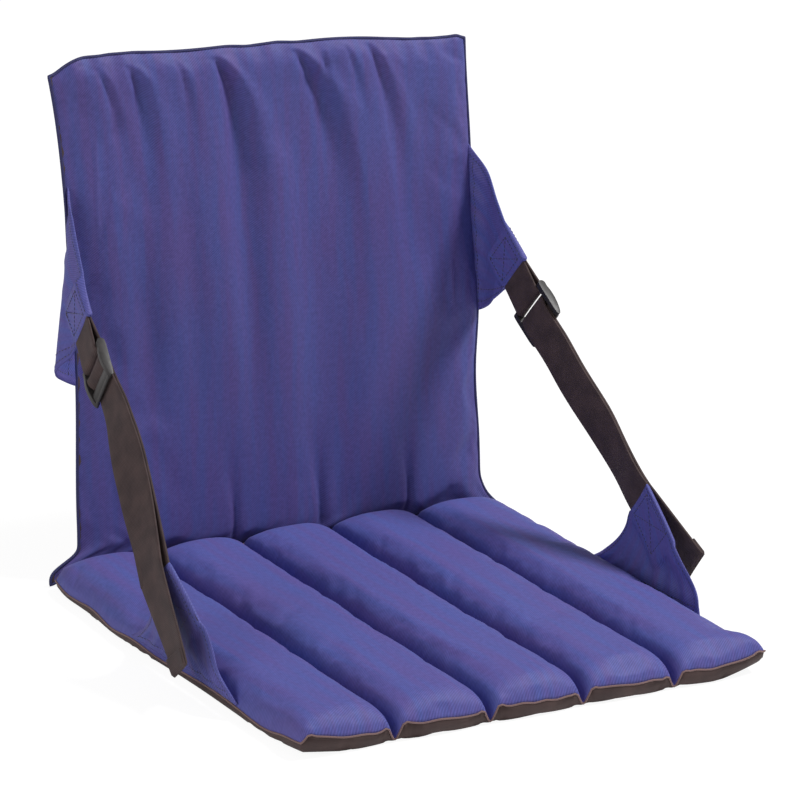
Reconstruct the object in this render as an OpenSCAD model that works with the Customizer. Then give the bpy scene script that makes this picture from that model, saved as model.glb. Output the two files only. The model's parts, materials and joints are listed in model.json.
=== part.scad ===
// Folding stadium seat: two padded panels joined by a fabric fold, held open by a
// webbing strap on each side that runs through a ladder-lock buckle.
// Origin: middle of the seat's underside, on the ground. +Z is up, -Y is the seat's front.

/* [Seat panel] */
// Width of the seat across its side seams
seat_w = 430; // [400:5:480]
// Depth of the seat from its front seam to its rear seam
seat_d = 410; // [380:5:440]
// Height of a channel's crown above the ground
seat_crown = 31; // [24:1:38]
// Height of the seam round the seat's edge
seam_h = 12; // [9:0.5:14]
// Height to which a stitch line pulls the covers together
pinch_h = 2.6; // [2.4:0.1:4]
// Distance over which a channel rounds down to its end seam
end_round = 32; // [22:1:40]
// How far the end seams are drawn in at a stitch line
scallop = 3; // [0:0.5:5]
// How far the corners of the seat are drawn in
corner_draw = 4; // [0:0.5:6]

/* [Back panel] */
// How far each side of the back lies inside the seat's side seam
back_inset = 15; // [10:0.5:18]
// Height of the back above the fold line
back_h = 398; // [370:2:430]
// How far the back reaches below the fold line
back_drop = 19.5; // [14:0.5:20]
// Thickness of the padded back
back_t = 15; // [13:0.5:18]
// How far the back leans to the rear, in degrees
lean = 7; // [3:0.5:12]
// How much wider each side of the back is at its lower corner
flare = 13; // [0:0.5:15]
// Height over which the back spreads to its lower corners
flare_h = 35; // [25:1:50]
// Distance over which the back rounds down to its side seams
side_reach = 24; // [20:1:26]
// Distance over which the back rounds down to its end seams
end_reach = 26; // [20:1:28]
// Depth of the deepest gather that hangs from the top seam
gather_depth = 4.2; // [0:0.1:5]
// Depth of the broad waves down the front cover
wave_depth = 1.9; // [0:0.1:2.5]

/* [Fold] */
// Space between the seat's rear seam and the fold line
fold_gap = 2.5; // [2:0.1:5]
// Height of the fold line above the seat's crown
fold_rise = 0.5; // [0.4:0.1:2]
// Space between the fold line and the front of the back
face_gap = 1; // [0.6:0.1:2]
// How far behind the fold line the fold web turns back
web_reach = 11; // [9:0.5:13]
// Height of the fold web above the ground
web_lift = 1.1; // [0.8:0.1:2]
// How far the fold web stops short of the seat's side seams
web_inset = 12; // [8:1:20]

/* [Covers and foam] */
// Thickness of one layer of fabric
fabric_t = 0.8; // [0.6:0.1:1]
// Clearance between the foam and the fabric round it
foam_gap = 0.4; // [0.3:0.05:0.6]
// Clearance between two layers that are sewn together
ply_gap = 0.3; // [0.2:0.05:0.4]
// Width that the back's foam leaves free at each side for its stay
back_foam_inset = 26; // [24:1:34]
// Height that the back's foam leaves free at each end
back_foam_end = 28; // [26:1:34]

/* [Stays] */
// Diameter of a stay rod
stay_d = 7; // [5:0.5:8]
// Distance from a stay's end to the seam beyond it
stay_end = 17; // [15:1:30]
// Length of a stay's end cap
cap_len = 16; // [10:1:25]
// Wall of a stay's end cap
cap_wall = 1.1; // [0.8:0.1:1.4]
// Clearance round a stay in its end cap
cap_clear = 0.1; // [0.05:0.05:0.2]
// How far a seat stay lies below the middle of its channel
stay_low = 5.7; // [5:0.1:6.5]

/* [Straps and wings] */
// Width of the webbing
web_w = 38; // [32:1:40]
// Thickness of the webbing
web_t = 1.8; // [1.4:0.1:2]
// Distance from the fold line forward to the top of the seat wing
anchor_fwd = 212; // [200:1:225]
// Height of the top of the seat wing above the ground
anchor_z = 85; // [78:1:92]
// How far the top of the seat wing leans out
anchor_out = 6.3; // [5:0.1:8]
// Distance between the tips of the seat wing and the back wing
strap_run = 235; // [225:1:240]
// Length of strap sewn to the outside of the seat wing
strap_sewn = 55; // [40:1:60]
// Length of the loose tail below the top of the seat wing
tail_len = 84; // [70:1:88]
// Length of the folded hem at the end of the tail
hem_len = 15; // [10:1:20]
// Distance from the top of the seat wing up to the place where the strap folds
knee_up = 118; // [110:1:124]
// Skew of the strap's fold line, in degrees
knee_skew = 7; // [0:0.5:10]
// Distance from the fold line forward to the rear end of the seat wing
wing_rear = 150; // [145:1:165]
// Distance from the fold line forward to the front end of the seat wing
wing_front = 318; // [300:1:320]
// Height of the lower end of the back wing above the fold line
wing_low = 142; // [125:1:145]
// Height of the upper end of the back wing above the fold line
wing_high = 304; // [300:1:325]
// How much wider a wing's tip is than the webbing
tip_margin = 3; // [2:0.5:6]
// Length of the pocket that holds the loop's ends in the back wing
pocket_len = 33; // [25:1:38]
// Clearance between the pocket and the faces of the loop's ends
pocket_clear = 0.2; // [0.15:0.05:0.3]
// Clearance between the pocket and the edges of the loop's ends
pocket_side = 0.4; // [0.3:0.1:0.6]
// Length over which the pocket's layers come together
pocket_taper = 8; // [6:1:12]
// Distance between the panel's edge and the sewn edge of a wing
wing_edge = 0.6; // [0.4:0.1:1]

/* [Buckle] */
// Distance from the back wing's tip to the middle of the anchor bar
anchor_bar_at = 28; // [26:0.5:32]
// Diameter of the anchor bar
anchor_bar_d = 4.5; // [4:0.1:5]
// Clear length of the slot between the anchor bar and the middle bar
slot_a = 6.5; // [6.2:0.1:8]
// Width of the middle bar
mid_bar_w = 6; // [5:0.1:7]
// Thickness of the middle bar
mid_bar_t = 3.5; // [3.2:0.1:4]
// Clear length of the slot between the middle bar and the grip bar
slot_b = 5.5; // [5:0.1:7]
// Width of the grip bar with its thumb lip
grip_w = 12; // [10:0.5:14]
// Width of a side rail
rail_w = 4.6; // [4:0.1:6]
// Radius of a side rail's end beside the anchor bar
rail_r = 3.4; // [3:0.1:4]
// Radius of a side rail's end beside the thumb lip
lip_r = 1.6; // [1.4:0.1:2]
// Clearance between the webbing's edge and a side rail
rail_clear = 1; // [0.6:0.1:1.5]
// Number of grip teeth
teeth = 4; // [3:1:5]
// How far the tail rises from the middle bar to the grip bar
tail_rise = 0.6; // [0.4:0.1:0.8]

/* [Hidden] */
$fn = 32;
// Number of sewn channels across the seat, each with its own foam node
channels = 5;
blue = "#4b4f9e";
grey = "#5a5048";
dark = "#3b302c";
black = "#232021";
foam = "#d8d4c4";
rod = "#c9c2a6";

// Places that follow from the sizes
chan_w = seat_w / channels;
back_w = seat_w - 2 * back_inset;
fold_y = seat_d / 2 + fold_gap;
fold_z = seat_crown + fold_rise;
wing_t = 2 * fabric_t;
hinge_out = ply_gap + wing_t / 2 + 0.1;
seam_half = ply_gap / 2 + fabric_t;
seam_n = -face_gap - back_t / 2;
cap_d = stay_d + 2 * (cap_wall + cap_clear);
// Share of a channel's half width over which the seam rises out of a pinch
pinch_reach = 0.34;
// How far the front cover rests behind its crown, and how far it may at most
relief_rest = 1.2;
relief_room = 6;
// Space behind the back's rods, from the plane of the foam's rear face
stay_rest = 0.5;
// Where the outer foam strips end beside the rods, as a share of a channel's half width
foam_edge_u = 0.55;

// Quilted height and grid

// Fullness across one channel, from 0 at its stitch lines to 1 at its crown
function puff(u) = pow(1 - pow(min(1, abs(u)), 3), 0.58);
// Fullness at a distance v from an end seam
function fullness(v, reach) = v >= reach ? 1 : puff(1 - v / reach);
// Grid lines near an edge, as shares of the distance over which it rounds down
edge_shares = [0, 0.13, 0.42, 0.95];
// Grid lines from one edge to the other, close together near the edges
function lines(length, reach, cells) =
    let (s = edge_shares * reach, inner = length - 2 * s[3])
    concat(
        [for (v = s) v],
        [for (k = [1:cells - 1]) s[3] + inner * k / cells],
        [for (k = [3:-1:0]) length - s[k]]
    );
// Lines across a channel, as a share of its half width; between the middle two it is flat
flat_u = 0.25;
chan_lines = [-1, -0.86, -0.55, -flat_u, flat_u, 0.55, 0.86];
seat_cols = concat([for (c = [0:channels - 1]) for (u = chan_lines) [c, u]], [[channels - 1, 1]]);
seat_rows = lines(seat_d, end_round, 3);

// Height of the middle of the seam or stitch line below a point of channel c
function seam_at(c, u) =
    let (outer = (c == 0 && u < 0) || (c == channels - 1 && u > 0))
    outer ? seam_h : pinch_h + (seam_h - pinch_h) * min(1, (1 - abs(u)) / pinch_reach);
function seat_full(u, v) =
    min(1, puff(u) / puff(flat_u)) * fullness(v, end_round) * fullness(seat_d - v, end_round);
function seat_top_z(c, u, v) =
    let (low = seam_at(c, u) + seam_half)
    low + (seat_crown - low) * seat_full(u, v);
// Height of the underside, which is flat on the ground in the middle of each channel
function seat_low_z(c, u, v) = (seam_at(c, u) - seam_half) * (1 - seat_full(u, v));
function near_end(v) = pow(max(0, 1 - min(v, seat_d - v) / end_round), 2);
function seat_x(c, u, v) =
    let (x = -seat_w / 2 + (c + (u + 1) / 2) * chan_w)
    x * (1 - corner_draw / (seat_w / 2) * near_end(v) * pow(abs(2 * x / seat_w), 8));
function seat_y(u, v) =
    v - seat_d / 2 + scallop * (u * u) * near_end(v) * (v < seat_d / 2 ? 1 : -1);
function seat_grid(cols, rows, side, off) = [
    for (v = rows) [
        for (c = cols) [
            seat_x(c[0], c[1], v),
            seat_y(c[1], v),
            (side > 0 ? seat_top_z(c[0], c[1], v) : seat_low_z(c[0], c[1], v)) + off
        ]
    ]
];

// Back grid: x across, y up the panel, z forward, with the fold line at the origin
back_len = back_h + back_drop;
front_cols = lines(back_w, side_reach, 26);
front_rows = lines(back_len, end_reach, 8);
rear_cols = lines(back_w, side_reach, 8);
rear_rows = lines(back_len, end_reach, 6);
function back_spread(h) =
    let (k = max(0, 1 - (h + back_drop) / flare_h)) 1 + flare / (back_w / 2) * k * k;
function back_full(a, b) =
    fullness(a, side_reach) * fullness(back_w - a, side_reach)
        * fullness(b, end_reach) * fullness(back_len - b, end_reach);
// Gathers: place across as a share of the half width, drift, length of the drift, length,
// width and share of the deepest one's depth
gathers = [
    [-0.76, 26, 45, 120, 12, 0.4], [-0.62, 24, 50, 170, 12, 0.7], [-0.19, 26, 35, 230, 12, 1],
    [0.2, 55, 130, 220, 12, 0.85], [0.43, 22, 40, 80, 12, 0.4], [0.54, 34, 80, 230, 12, 0.65]
];
// A gather fades down its length and spreads over the first stretch. Beside it stands a ridge,
// whose height is a share of its depth and whose place and width are shares of its width
gather_fade = 1.3;
gather_spread = 0.4;
spread_down = 120;
ridge_high = 0.4;
ridge_at = 1.9;
ridge_width = 1.2;
// Broad waves: length, place of one crest, drift to the side on the way down, and the
// distances from the top and the sides over which they set in
wave_len = 118;
wave_at = 46;
wave_drift = 0.04;
wave_top = 90;
wave_side = 50;
function smooth_step(t) = let (s = min(1, max(0, t))) s * s * (3 - 2 * s);
function gather(g, x, down) =
    let (
        path = g[0] * back_w / 2 + g[1] * (1 - exp(-down / g[2])),
        q = (x - path) / (g[4] * (1 + gather_spread * min(1, down / spread_down))),
        valley = exp(-q * q) - ridge_high * exp(-pow((q - ridge_at) / ridge_width, 2))
    )
    gather_depth * g[5] * exp(-gather_fade * pow(down / g[3], 2)) * valley;
function wave(x, down) =
    let (inside = smooth_step(down / wave_top) * smooth_step((back_w / 2 - abs(x)) / wave_side))
    wave_depth * inside * cos(360 * (x - wave_at - wave_drift * down) / wave_len);
// How far the front cover lies behind its plain surface
function cover_relief(a, h) =
    let (
        x = a - back_w / 2,
        down = max(0, back_h - h),
        folds = [for (g = gathers) gather(g, x, down)],
        depth = relief_rest - wave(x, down) + folds * [for (g = gathers) 1]
    )
    min(relief_room, max(0, depth));
function back_z(a, b, side) =
    let (edge = seam_n + side * seam_half, crown = seam_n + side * back_t / 2)
    edge + (crown - edge) * back_full(a, b)
        - (side > 0 ? cover_relief(a, b - back_drop) * back_full(a, b) : 0);
function back_grid(side, off, cols, rows) = [
    for (b = rows) [
        for (a = cols) [
            (a - back_w / 2) * back_spread(b - back_drop),
            b - back_drop,
            back_z(a, b, side) + off
        ]
    ]
];

// Closed solid between an upper and a lower grid of points
module slab(up, low) {
    rows = len(up);
    cols = len(up[0]);
    n = rows * cols;
    function p(j, i) = j * cols + i;
    function quad(a, b, c, d) = [[a, b, c], [a, c, d]];
    faces = concat(
        [for (j = [0:rows - 2], i = [0:cols - 2])
            each quad(p(j, i), p(j + 1, i), p(j + 1, i + 1), p(j, i + 1))],
        [for (j = [0:rows - 2], i = [0:cols - 2])
            each quad(n + p(j, i), n + p(j, i + 1), n + p(j + 1, i + 1), n + p(j + 1, i))],
        [for (i = [0:cols - 2]) each quad(p(0, i), p(0, i + 1), n + p(0, i + 1), n + p(0, i))],
        [for (i = [0:cols - 2]) each quad(
            p(rows - 1, i + 1), p(rows - 1, i), n + p(rows - 1, i), n + p(rows - 1, i + 1))],
        [for (j = [0:rows - 2]) each quad(p(j + 1, 0), p(j, 0), n + p(j, 0), n + p(j + 1, 0))],
        [for (j = [0:rows - 2]) each quad(
            p(j, cols - 1), p(j + 1, cols - 1), n + p(j + 1, cols - 1), n + p(j, cols - 1))]
    );
    polyhedron(concat([for (r = up) each r], [for (r = low) each r]), faces, convexity = 8);
}

// Directions of the side planes, on the right side
seat_hinge = [seat_w / 2 + hinge_out, fold_y, seam_h];
up_back = [0, sin(lean), cos(lean)];
off_back = [0, -cos(lean), sin(lean)];
back_hinge = [back_w / 2 + hinge_out, fold_y, fold_z] + seam_n * off_back;
anchor = [seat_hinge[0] + anchor_out, fold_y - anchor_fwd, anchor_z];
splay = atan2(anchor[0] - back_hinge[0], (anchor - back_hinge) * off_back);
tilt = atan2(anchor_out, anchor_z - seam_h);
forward = sin(splay) * [1, 0, 0] + cos(splay) * off_back;
strap_n = cross(up_back, forward);
wing_n = [cos(tilt), 0, -sin(tilt)];
wing_up = [sin(tilt), 0, cos(tilt)];
web_dir = cross(strap_n, wing_n) / norm(cross(strap_n, wing_n));
run_dir = cross(web_dir, strap_n);
bend = acos(strap_n * wing_n);

// Places its children in a frame of three directions at a point
module frame_at(o, x, y, z) {
    multmatrix([
        [x[0], y[0], z[0], o[0]],
        [x[1], y[1], z[1], o[1]],
        [x[2], y[2], z[2], o[2]]
    ]) children();
}
// Strap frame: x down the strap from the seat wing's tip, y across the webbing, z outward
module on_strap() { frame_at(anchor, run_dir, web_dir, strap_n) children(); }
// Seat wing frame: x rearward from the fold line, y up the wing, z outward
module on_seat_wing() { frame_at(seat_hinge, [0, 1, 0], wing_up, wing_n) children(); }
// Back wing frame: x up the back from the fold line, y forward, z outward
module on_back_wing() { frame_at(back_hinge, up_back, forward, strap_n) children(); }
// Back frame: x across, y up the back, z forward, at the fold line
module on_back() { translate([0, fold_y, fold_z]) rotate([90 - lean, 0, 0]) children(); }
module on_left() { mirror([1, 0, 0]) children(); }

// Profiles
function arc(c, r, a0, a1, n) =
    [for (k = [0:n]) let (a = a0 + (a1 - a0) * k / n) c + r * [cos(a), sin(a)]];
function curve(a, b, c, n) =
    [for (k = [0:n]) let (t = k / n) (1 - t) * (1 - t) * a + 2 * t * (1 - t) * b + t * t * c];
function unit(v) = v / norm(v);
function side_of(path, k) =
    let (
        a = path[max(0, k - 1)],
        b = path[k],
        c = path[min(len(path) - 1, k + 1)],
        d1 = k > 0 ? unit(b - a) : unit(c - b),
        d2 = k < len(path) - 1 ? unit(c - b) : unit(b - a),
        m = unit(d1 + d2)
    ) [-m[1], m[0]] / (m * d1);
function ribbon(path, t) = concat(
    [for (k = [0:len(path) - 1]) path[k] + side_of(path, k) * t / 2],
    [for (k = [len(path) - 1:-1:0]) path[k] - side_of(path, k) * t / 2]
);
// A profile drawn along the strap and outward, as wide as w across the webbing
module across(w) { rotate([90, 0, 0]) linear_extrude(w, center = true) children(); }

// Places along the strap, measured from the seat wing's tip, negative towards the back
bar_x = -strap_run + anchor_bar_at;
bar_ply = anchor_bar_d / 2 + ply_gap + web_t / 2;
mid_x0 = bar_x + anchor_bar_d / 2 + slot_a;
mid_x1 = mid_x0 + mid_bar_w;
mid_r = mid_bar_t / 2;
mid_ply = mid_r + ply_gap + web_t / 2;
grip_x0 = mid_x1 + slot_b;
grip_x1 = grip_x0 + grip_w;
// Height of the load run and of the tail under the grip bar
pitch = web_t + ply_gap;
tail_n = -mid_ply + tail_rise;
load_n = tail_n - pitch;
wing_load_n = wing_t / 2 + ply_gap + web_t / 2;
load_slope = (wing_load_n - load_n) / (-grip_x1);
function load_at(x) = x > 0 ? wing_load_n - x * tan(bend) : wing_load_n + load_slope * x;
function tail_at(x) = load_at(x) + pitch;
knee_x = -knee_up;

// The load run comes up behind the grip bar, turns round the middle bar and leaves as the tail
turn_end = [mid_x1 - mid_r, 0] + mid_ply * [cos(20), sin(20)];
past_knee = 6;
upper_path = concat(
    [[knee_x + past_knee, load_at(knee_x + past_knee)], [grip_x1, load_n]],
    [[mid_x1 + 3, load_n], [mid_x1 - 0.5, load_n + 0.5]],
    arc([mid_x0 + mid_r, 0], mid_ply, 270, 90, 10),
    arc([mid_x1 - mid_r, 0], mid_ply, 70, 40, 3),
    curve(turn_end, [mid_x1 + 2.2, tail_n + 0.15], [grip_x0 + 1, tail_n], 6),
    [[grip_x1, tail_n], [knee_x + past_knee, tail_at(knee_x + past_knee)]]
);
lower_start = knee_x - past_knee;
lower_path = [[lower_start, load_at(lower_start)], [0, load_at(0)], [strap_sewn, load_at(strap_sewn)]];
// The tail's end is folded back on itself and sewn
hem_x = tail_len - hem_len;
hem_turn = tail_len - pitch / 2;
tail_path = concat(
    [[lower_start, tail_at(lower_start)], [0, tail_at(0)], [hem_x, tail_at(hem_x)]],
    [[hem_turn, tail_at(hem_turn)]],
    arc([hem_turn, tail_at(hem_turn) + pitch / 2], pitch / 2, -60, 90, 6),
    [[hem_x, tail_at(hem_x) + pitch]]
);
// The loop's two ends lie on each other in the wing's pocket
loop_x0 = -strap_run - pocket_len + 4;
loop_path = concat(
    [[loop_x0, pitch / 2], [-strap_run, pitch / 2], [bar_x - anchor_bar_d, bar_ply - 0.4]],
    arc([bar_x, 0], bar_ply, 90, -90, 12),
    [[bar_x - anchor_bar_d, -bar_ply + 0.4], [-strap_run, -pitch / 2], [loop_x0, -pitch / 2]]
);

// Everything on one side of the strap's fold line, which is a little skewed
knee_cut = 0.2;
module beyond_knee(dir) {
    intersection() {
        children();
        translate([knee_x, 0, 0])
            rotate([0, 0, knee_skew])
                translate([dir * (strap_run + knee_cut) / 2, 0, 0])
                    cube([strap_run, 2 * web_w, web_w], center = true);
    }
}

// Seat panel

module seat_top_cover() {
    color(blue) slab(
        seat_grid(seat_cols, seat_rows, 1, 0),
        seat_grid(seat_cols, seat_rows, 1, -fabric_t)
    );
}

module seat_bottom_cover() {
    color(grey) slab(
        seat_grid(seat_cols, seat_rows, -1, fabric_t),
        seat_grid(seat_cols, seat_rows, -1, 0)
    );
}

// Foam strip of channel c, which leaves room for the stay beside an outer seam
module foam_strip(c) {
    first = c == 0 ? -foam_edge_u : chan_lines[1];
    last = c == channels - 1 ? foam_edge_u : -chan_lines[1];
    cols = [for (u = chan_lines) if (u >= first && u <= last) [c, u]];
    rows = [for (k = [1:len(seat_rows) - 2]) seat_rows[k]];
    color(foam) slab(
        seat_grid(cols, rows, 1, -fabric_t - foam_gap),
        seat_grid(cols, rows, -1, fabric_t + foam_gap)
    );
}
module seat_foam_1() { foam_strip(0); }
module seat_foam_2() { foam_strip(1); }
module seat_foam_3() { foam_strip(2); }
module seat_foam_4() { foam_strip(3); }
module seat_foam_5() { foam_strip(4); }

seat_stay_x = seat_w / 2 - (1 - foam_edge_u) / 2 * chan_w + foam_gap + cap_d / 2;
seat_stay_z = (seat_crown + seam_h) / 2 - stay_low;
seat_stay_len = seat_d - 2 * stay_end - 2 * cap_wall;

module stay(length) { cylinder(d = stay_d, h = length, center = true); }
// End caps for a stay, one at each end
module stay_caps(length) {
    for (s = [-1, 1])
        rotate([s > 0 ? 0 : 180, 0, 0])
            translate([0, 0, length / 2 + cap_wall - cap_len])
                difference() {
                    cylinder(d = cap_d, h = cap_len);
                    translate([0, 0, -1])
                        cylinder(d = stay_d + 2 * cap_clear, h = cap_len - cap_wall + 1);
                }
}
module in_seat_stay(side) {
    translate([side * seat_stay_x, 0, seat_stay_z]) rotate([90, 0, 0]) children();
}

module seat_stay_left() { color(rod) in_seat_stay(-1) stay(seat_stay_len); }
module seat_stay_right() { color(rod) in_seat_stay(1) stay(seat_stay_len); }
module seat_stay_caps() {
    color(black) for (s = [-1, 1]) in_seat_stay(s) stay_caps(seat_stay_len);
}

// Fold

// Unpadded fabric that joins the two panels: it leaves the seat's rear seam, turns under the
// back and comes up to its lower seam, folded on itself while the seat stands open
web_start = [seat_d / 2 + ply_gap + fabric_t / 2, seam_h];
web_low = web_lift + fabric_t / 2;
web_high = fold_z - back_drop * cos(lean) + seam_n * sin(lean) - seam_half - ply_gap - fabric_t / 2;
web_end = fold_y - back_drop * sin(lean) - seam_n * cos(lean);
web_r = (web_high - web_low) / 2;
web_turn = fold_y + web_reach;
web_path = concat(
    curve(web_start, [web_start[0], web_low], [web_turn, web_low], 8),
    arc([web_turn, web_low + web_r], web_r, -60, 60, 6),
    [[web_turn, web_high], [web_end, web_high]]
);
module fold_web() {
    color(grey) rotate([90, 0, 90])
        linear_extrude(seat_w - 2 * web_inset, center = true) polygon(ribbon(web_path, fabric_t));
}

// Back panel

module back_front_cover() {
    color(blue) on_back() slab(
        back_grid(1, 0, front_cols, front_rows), back_grid(1, -fabric_t, front_cols, front_rows));
}
module back_rear_cover() {
    color(grey) on_back() slab(
        back_grid(-1, fabric_t, rear_cols, rear_rows), back_grid(-1, 0, rear_cols, rear_rows));
}

foam_front = -face_gap - fabric_t - foam_gap - relief_room;
foam_rear = -face_gap - back_t + fabric_t + foam_gap;
back_foam_w = back_w - 2 * back_foam_inset;
back_foam_h = back_len - 2 * back_foam_end;
module back_foam() {
    color(foam) on_back() translate([-back_foam_w / 2, back_foam_end - back_drop, foam_rear])
        cube([back_foam_w, back_foam_h, foam_front - foam_rear]);
}

back_stay_x = back_foam_w / 2 + foam_gap + cap_d / 2;
back_stay_n = foam_rear + stay_rest + cap_d / 2;
back_stay_len = back_len - 2 * stay_end - 2 * cap_wall;
module in_back_stay(side) {
    on_back()
        translate([side * back_stay_x, (back_h - back_drop) / 2, back_stay_n])
            rotate([90, 0, 0]) children();
}
module back_stay_left() { color(rod) in_back_stay(-1) stay(back_stay_len); }
module back_stay_right() { color(rod) in_back_stay(1) stay(back_stay_len); }
module back_stay_caps() {
    color(black) for (s = [-1, 1]) in_back_stay(s) stay_caps(back_stay_len);
}

// Wings

tip_half = (web_w + 2 * tip_margin) / 2;
seat_tip = [-anchor_fwd, (anchor_z - seam_h) / cos(tilt)];
seat_tip_dir = [web_dir[1], web_dir * wing_up];
module seat_wing() {
    low = seat_tip + tip_half * seat_tip_dir;
    high = seat_tip - tip_half * seat_tip_dir;
    rear = [-wing_rear, wing_edge];
    front = [-wing_front, wing_edge];
    color(blue) on_seat_wing() linear_extrude(wing_t, center = true) polygon(concat(
        curve(rear, [low[0] + 2, low[1] * 0.53], low, 10),
        curve(high, [front[0] + 39, high[1] * 0.55], front, 12)
    ));
}
module seat_wing_left() { on_left() seat_wing(); }
module seat_wing_right() { seat_wing(); }

back_tip_at = anchor - strap_run * run_dir - back_hinge;
back_tip = [back_tip_at * up_back, back_tip_at * forward];
back_tip_dir = [web_dir * up_back, web_dir * forward];
pocket_in = pitch + web_t + 2 * pocket_clear;
pocket_w = web_w + 2 * pocket_side;
module back_wing_sheet() {
    low = back_tip + tip_half * back_tip_dir;
    high = back_tip - tip_half * back_tip_dir;
    top = [wing_high, wing_edge];
    bottom = [wing_low, wing_edge];
    on_back_wing() linear_extrude(wing_t, center = true) polygon(concat(
        curve(top, [high[0] + 46, high[1] * 0.47], high, 12),
        curve(low, [low[0] - 18, low[1] * 0.48], bottom, 10)
    ));
}
// The layers of the wing's tip part to hold the ends of the loop
module back_wing() {
    skin = pocket_in / 2 + fabric_t;
    pocket_end = -strap_run - pocket_len;
    color(blue) difference() {
        union() {
            back_wing_sheet();
            on_strap() across(pocket_w + 2 * fabric_t) polygon([
                [pocket_end - pocket_taper, fabric_t], [pocket_end, skin],
                [-strap_run, skin], [-strap_run, -skin],
                [pocket_end, -skin], [pocket_end - pocket_taper, -fabric_t]
            ]);
        }
        on_strap() translate([pocket_end, -pocket_w / 2, -pocket_in / 2])
            cube([pocket_len + web_w, pocket_w, pocket_in]);
    }
}
module back_wing_left() { on_left() back_wing(); }
module back_wing_right() { back_wing(); }

// Straps

module buckle_loop() { color(dark) on_strap() across(web_w) polygon(ribbon(loop_path, web_t)); }
module buckle_loop_left() { on_left() buckle_loop(); }
module buckle_loop_right() { buckle_loop(); }

module strap_upper() {
    color(dark) on_strap() beyond_knee(-1) across(web_w) polygon(ribbon(upper_path, web_t));
}
module strap_upper_left() { on_left() strap_upper(); }
module strap_upper_right() { strap_upper(); }

module strap_lower() {
    color(dark) on_strap() beyond_knee(1) across(web_w) polygon(ribbon(lower_path, web_t));
}
module strap_lower_left() { on_left() strap_lower(); }
module strap_lower_right() { strap_lower(); }

module strap_tail() {
    color(dark) on_strap() beyond_knee(1) across(web_w) polygon(ribbon(tail_path, web_t));
}
module strap_tail_left() { on_left() strap_tail(); }
module strap_tail_right() { strap_tail(); }

// Buckle

rail_in = web_w / 2 + rail_clear;
rail_x0 = bar_x - rail_r;
grip_low = tail_n + web_t / 2 + ply_gap;
// Side rail: an arched bar, thick at the anchor end and thin at the thumb lip
module rail_profile() {
    mid = (rail_x0 + grip_x1) / 2;
    thin = 2 * lip_r;
    polygon(concat(
        arc([bar_x, 0], rail_r, 100, 250, 8),
        curve([bar_x + rail_r, -rail_r], [mid, -0.7 * rail_r], [grip_x1 - 2 * thin, grip_low - 0.8], 8),
        arc([grip_x1 - lip_r, grip_low + lip_r], lip_r, -90, 60, 6),
        curve([grip_x1 - thin, grip_low + 1.3 * thin], [mid, 2 * rail_r], [bar_x + rail_r, rail_r], 10)
    ));
}
// Grip bar: its teeth face the webbing and its lip curls away for the thumb
module grip_profile() {
    lip = 0.75 * lip_r;
    step = (grip_w - 2.5 * lip_r) / teeth;
    polygon(concat(
        [for (k = [0:teeth - 1]) each [
            [grip_x0 + k * step, grip_low + step / 3],
            [grip_x0 + (k + 0.75) * step, grip_low]
        ]],
        [[grip_x1 - 2 * lip_r, grip_low + lip / 2]],
        arc([grip_x1 - lip, grip_low + 2 * lip], lip, -70, 110, 8),
        curve(
            [grip_x1 - 2 * lip_r, grip_low + 2 * lip_r],
            [grip_x0 + 3 * lip_r, grip_low + 3 * lip_r],
            [grip_x0 + lip, grip_low + 2 * lip_r], 8)
    ));
}
module mid_profile() {
    polygon(concat(
        arc([mid_x0 + mid_r, 0], mid_r, 90, 270, 12),
        arc([mid_x1 - mid_r, 0], mid_r, -90, 90, 12)
    ));
}
module ladder_lock() {
    inside = 2 * rail_in + 1;
    color(black) on_strap() {
        for (s = [-1, 1]) translate([0, s * (rail_in + rail_w / 2), 0]) across(rail_w) rail_profile();
        across(inside) mid_profile();
        across(inside) grip_profile();
        translate([bar_x, 0, 0])
            rotate([90, 0, 0]) cylinder(d = anchor_bar_d, h = inside, center = true);
    }
}
module ladder_lock_left() { on_left() ladder_lock(); }
module ladder_lock_right() { ladder_lock(); }

seat_top_cover();
seat_bottom_cover();
seat_foam_1();
seat_foam_2();
seat_foam_3();
seat_foam_4();
seat_foam_5();
seat_stay_left();
seat_stay_right();
seat_stay_caps();
fold_web();
back_front_cover();
back_rear_cover();
back_foam();
back_stay_left();
back_stay_right();
back_stay_caps();
seat_wing_left();
seat_wing_right();
back_wing_left();
back_wing_right();
buckle_loop_left();
buckle_loop_right();
ladder_lock_left();
ladder_lock_right();
strap_lower_left();
strap_lower_right();
strap_upper_left();
strap_upper_right();
strap_tail_left();
strap_tail_right();
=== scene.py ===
"""Folding stadium seat: quilted seat, padded back, cloth wings, webbing straps and ladder-lock buckles.

Everything is in metres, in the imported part's own frame: +Z up, -Y the seat's front edge.
"""

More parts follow.
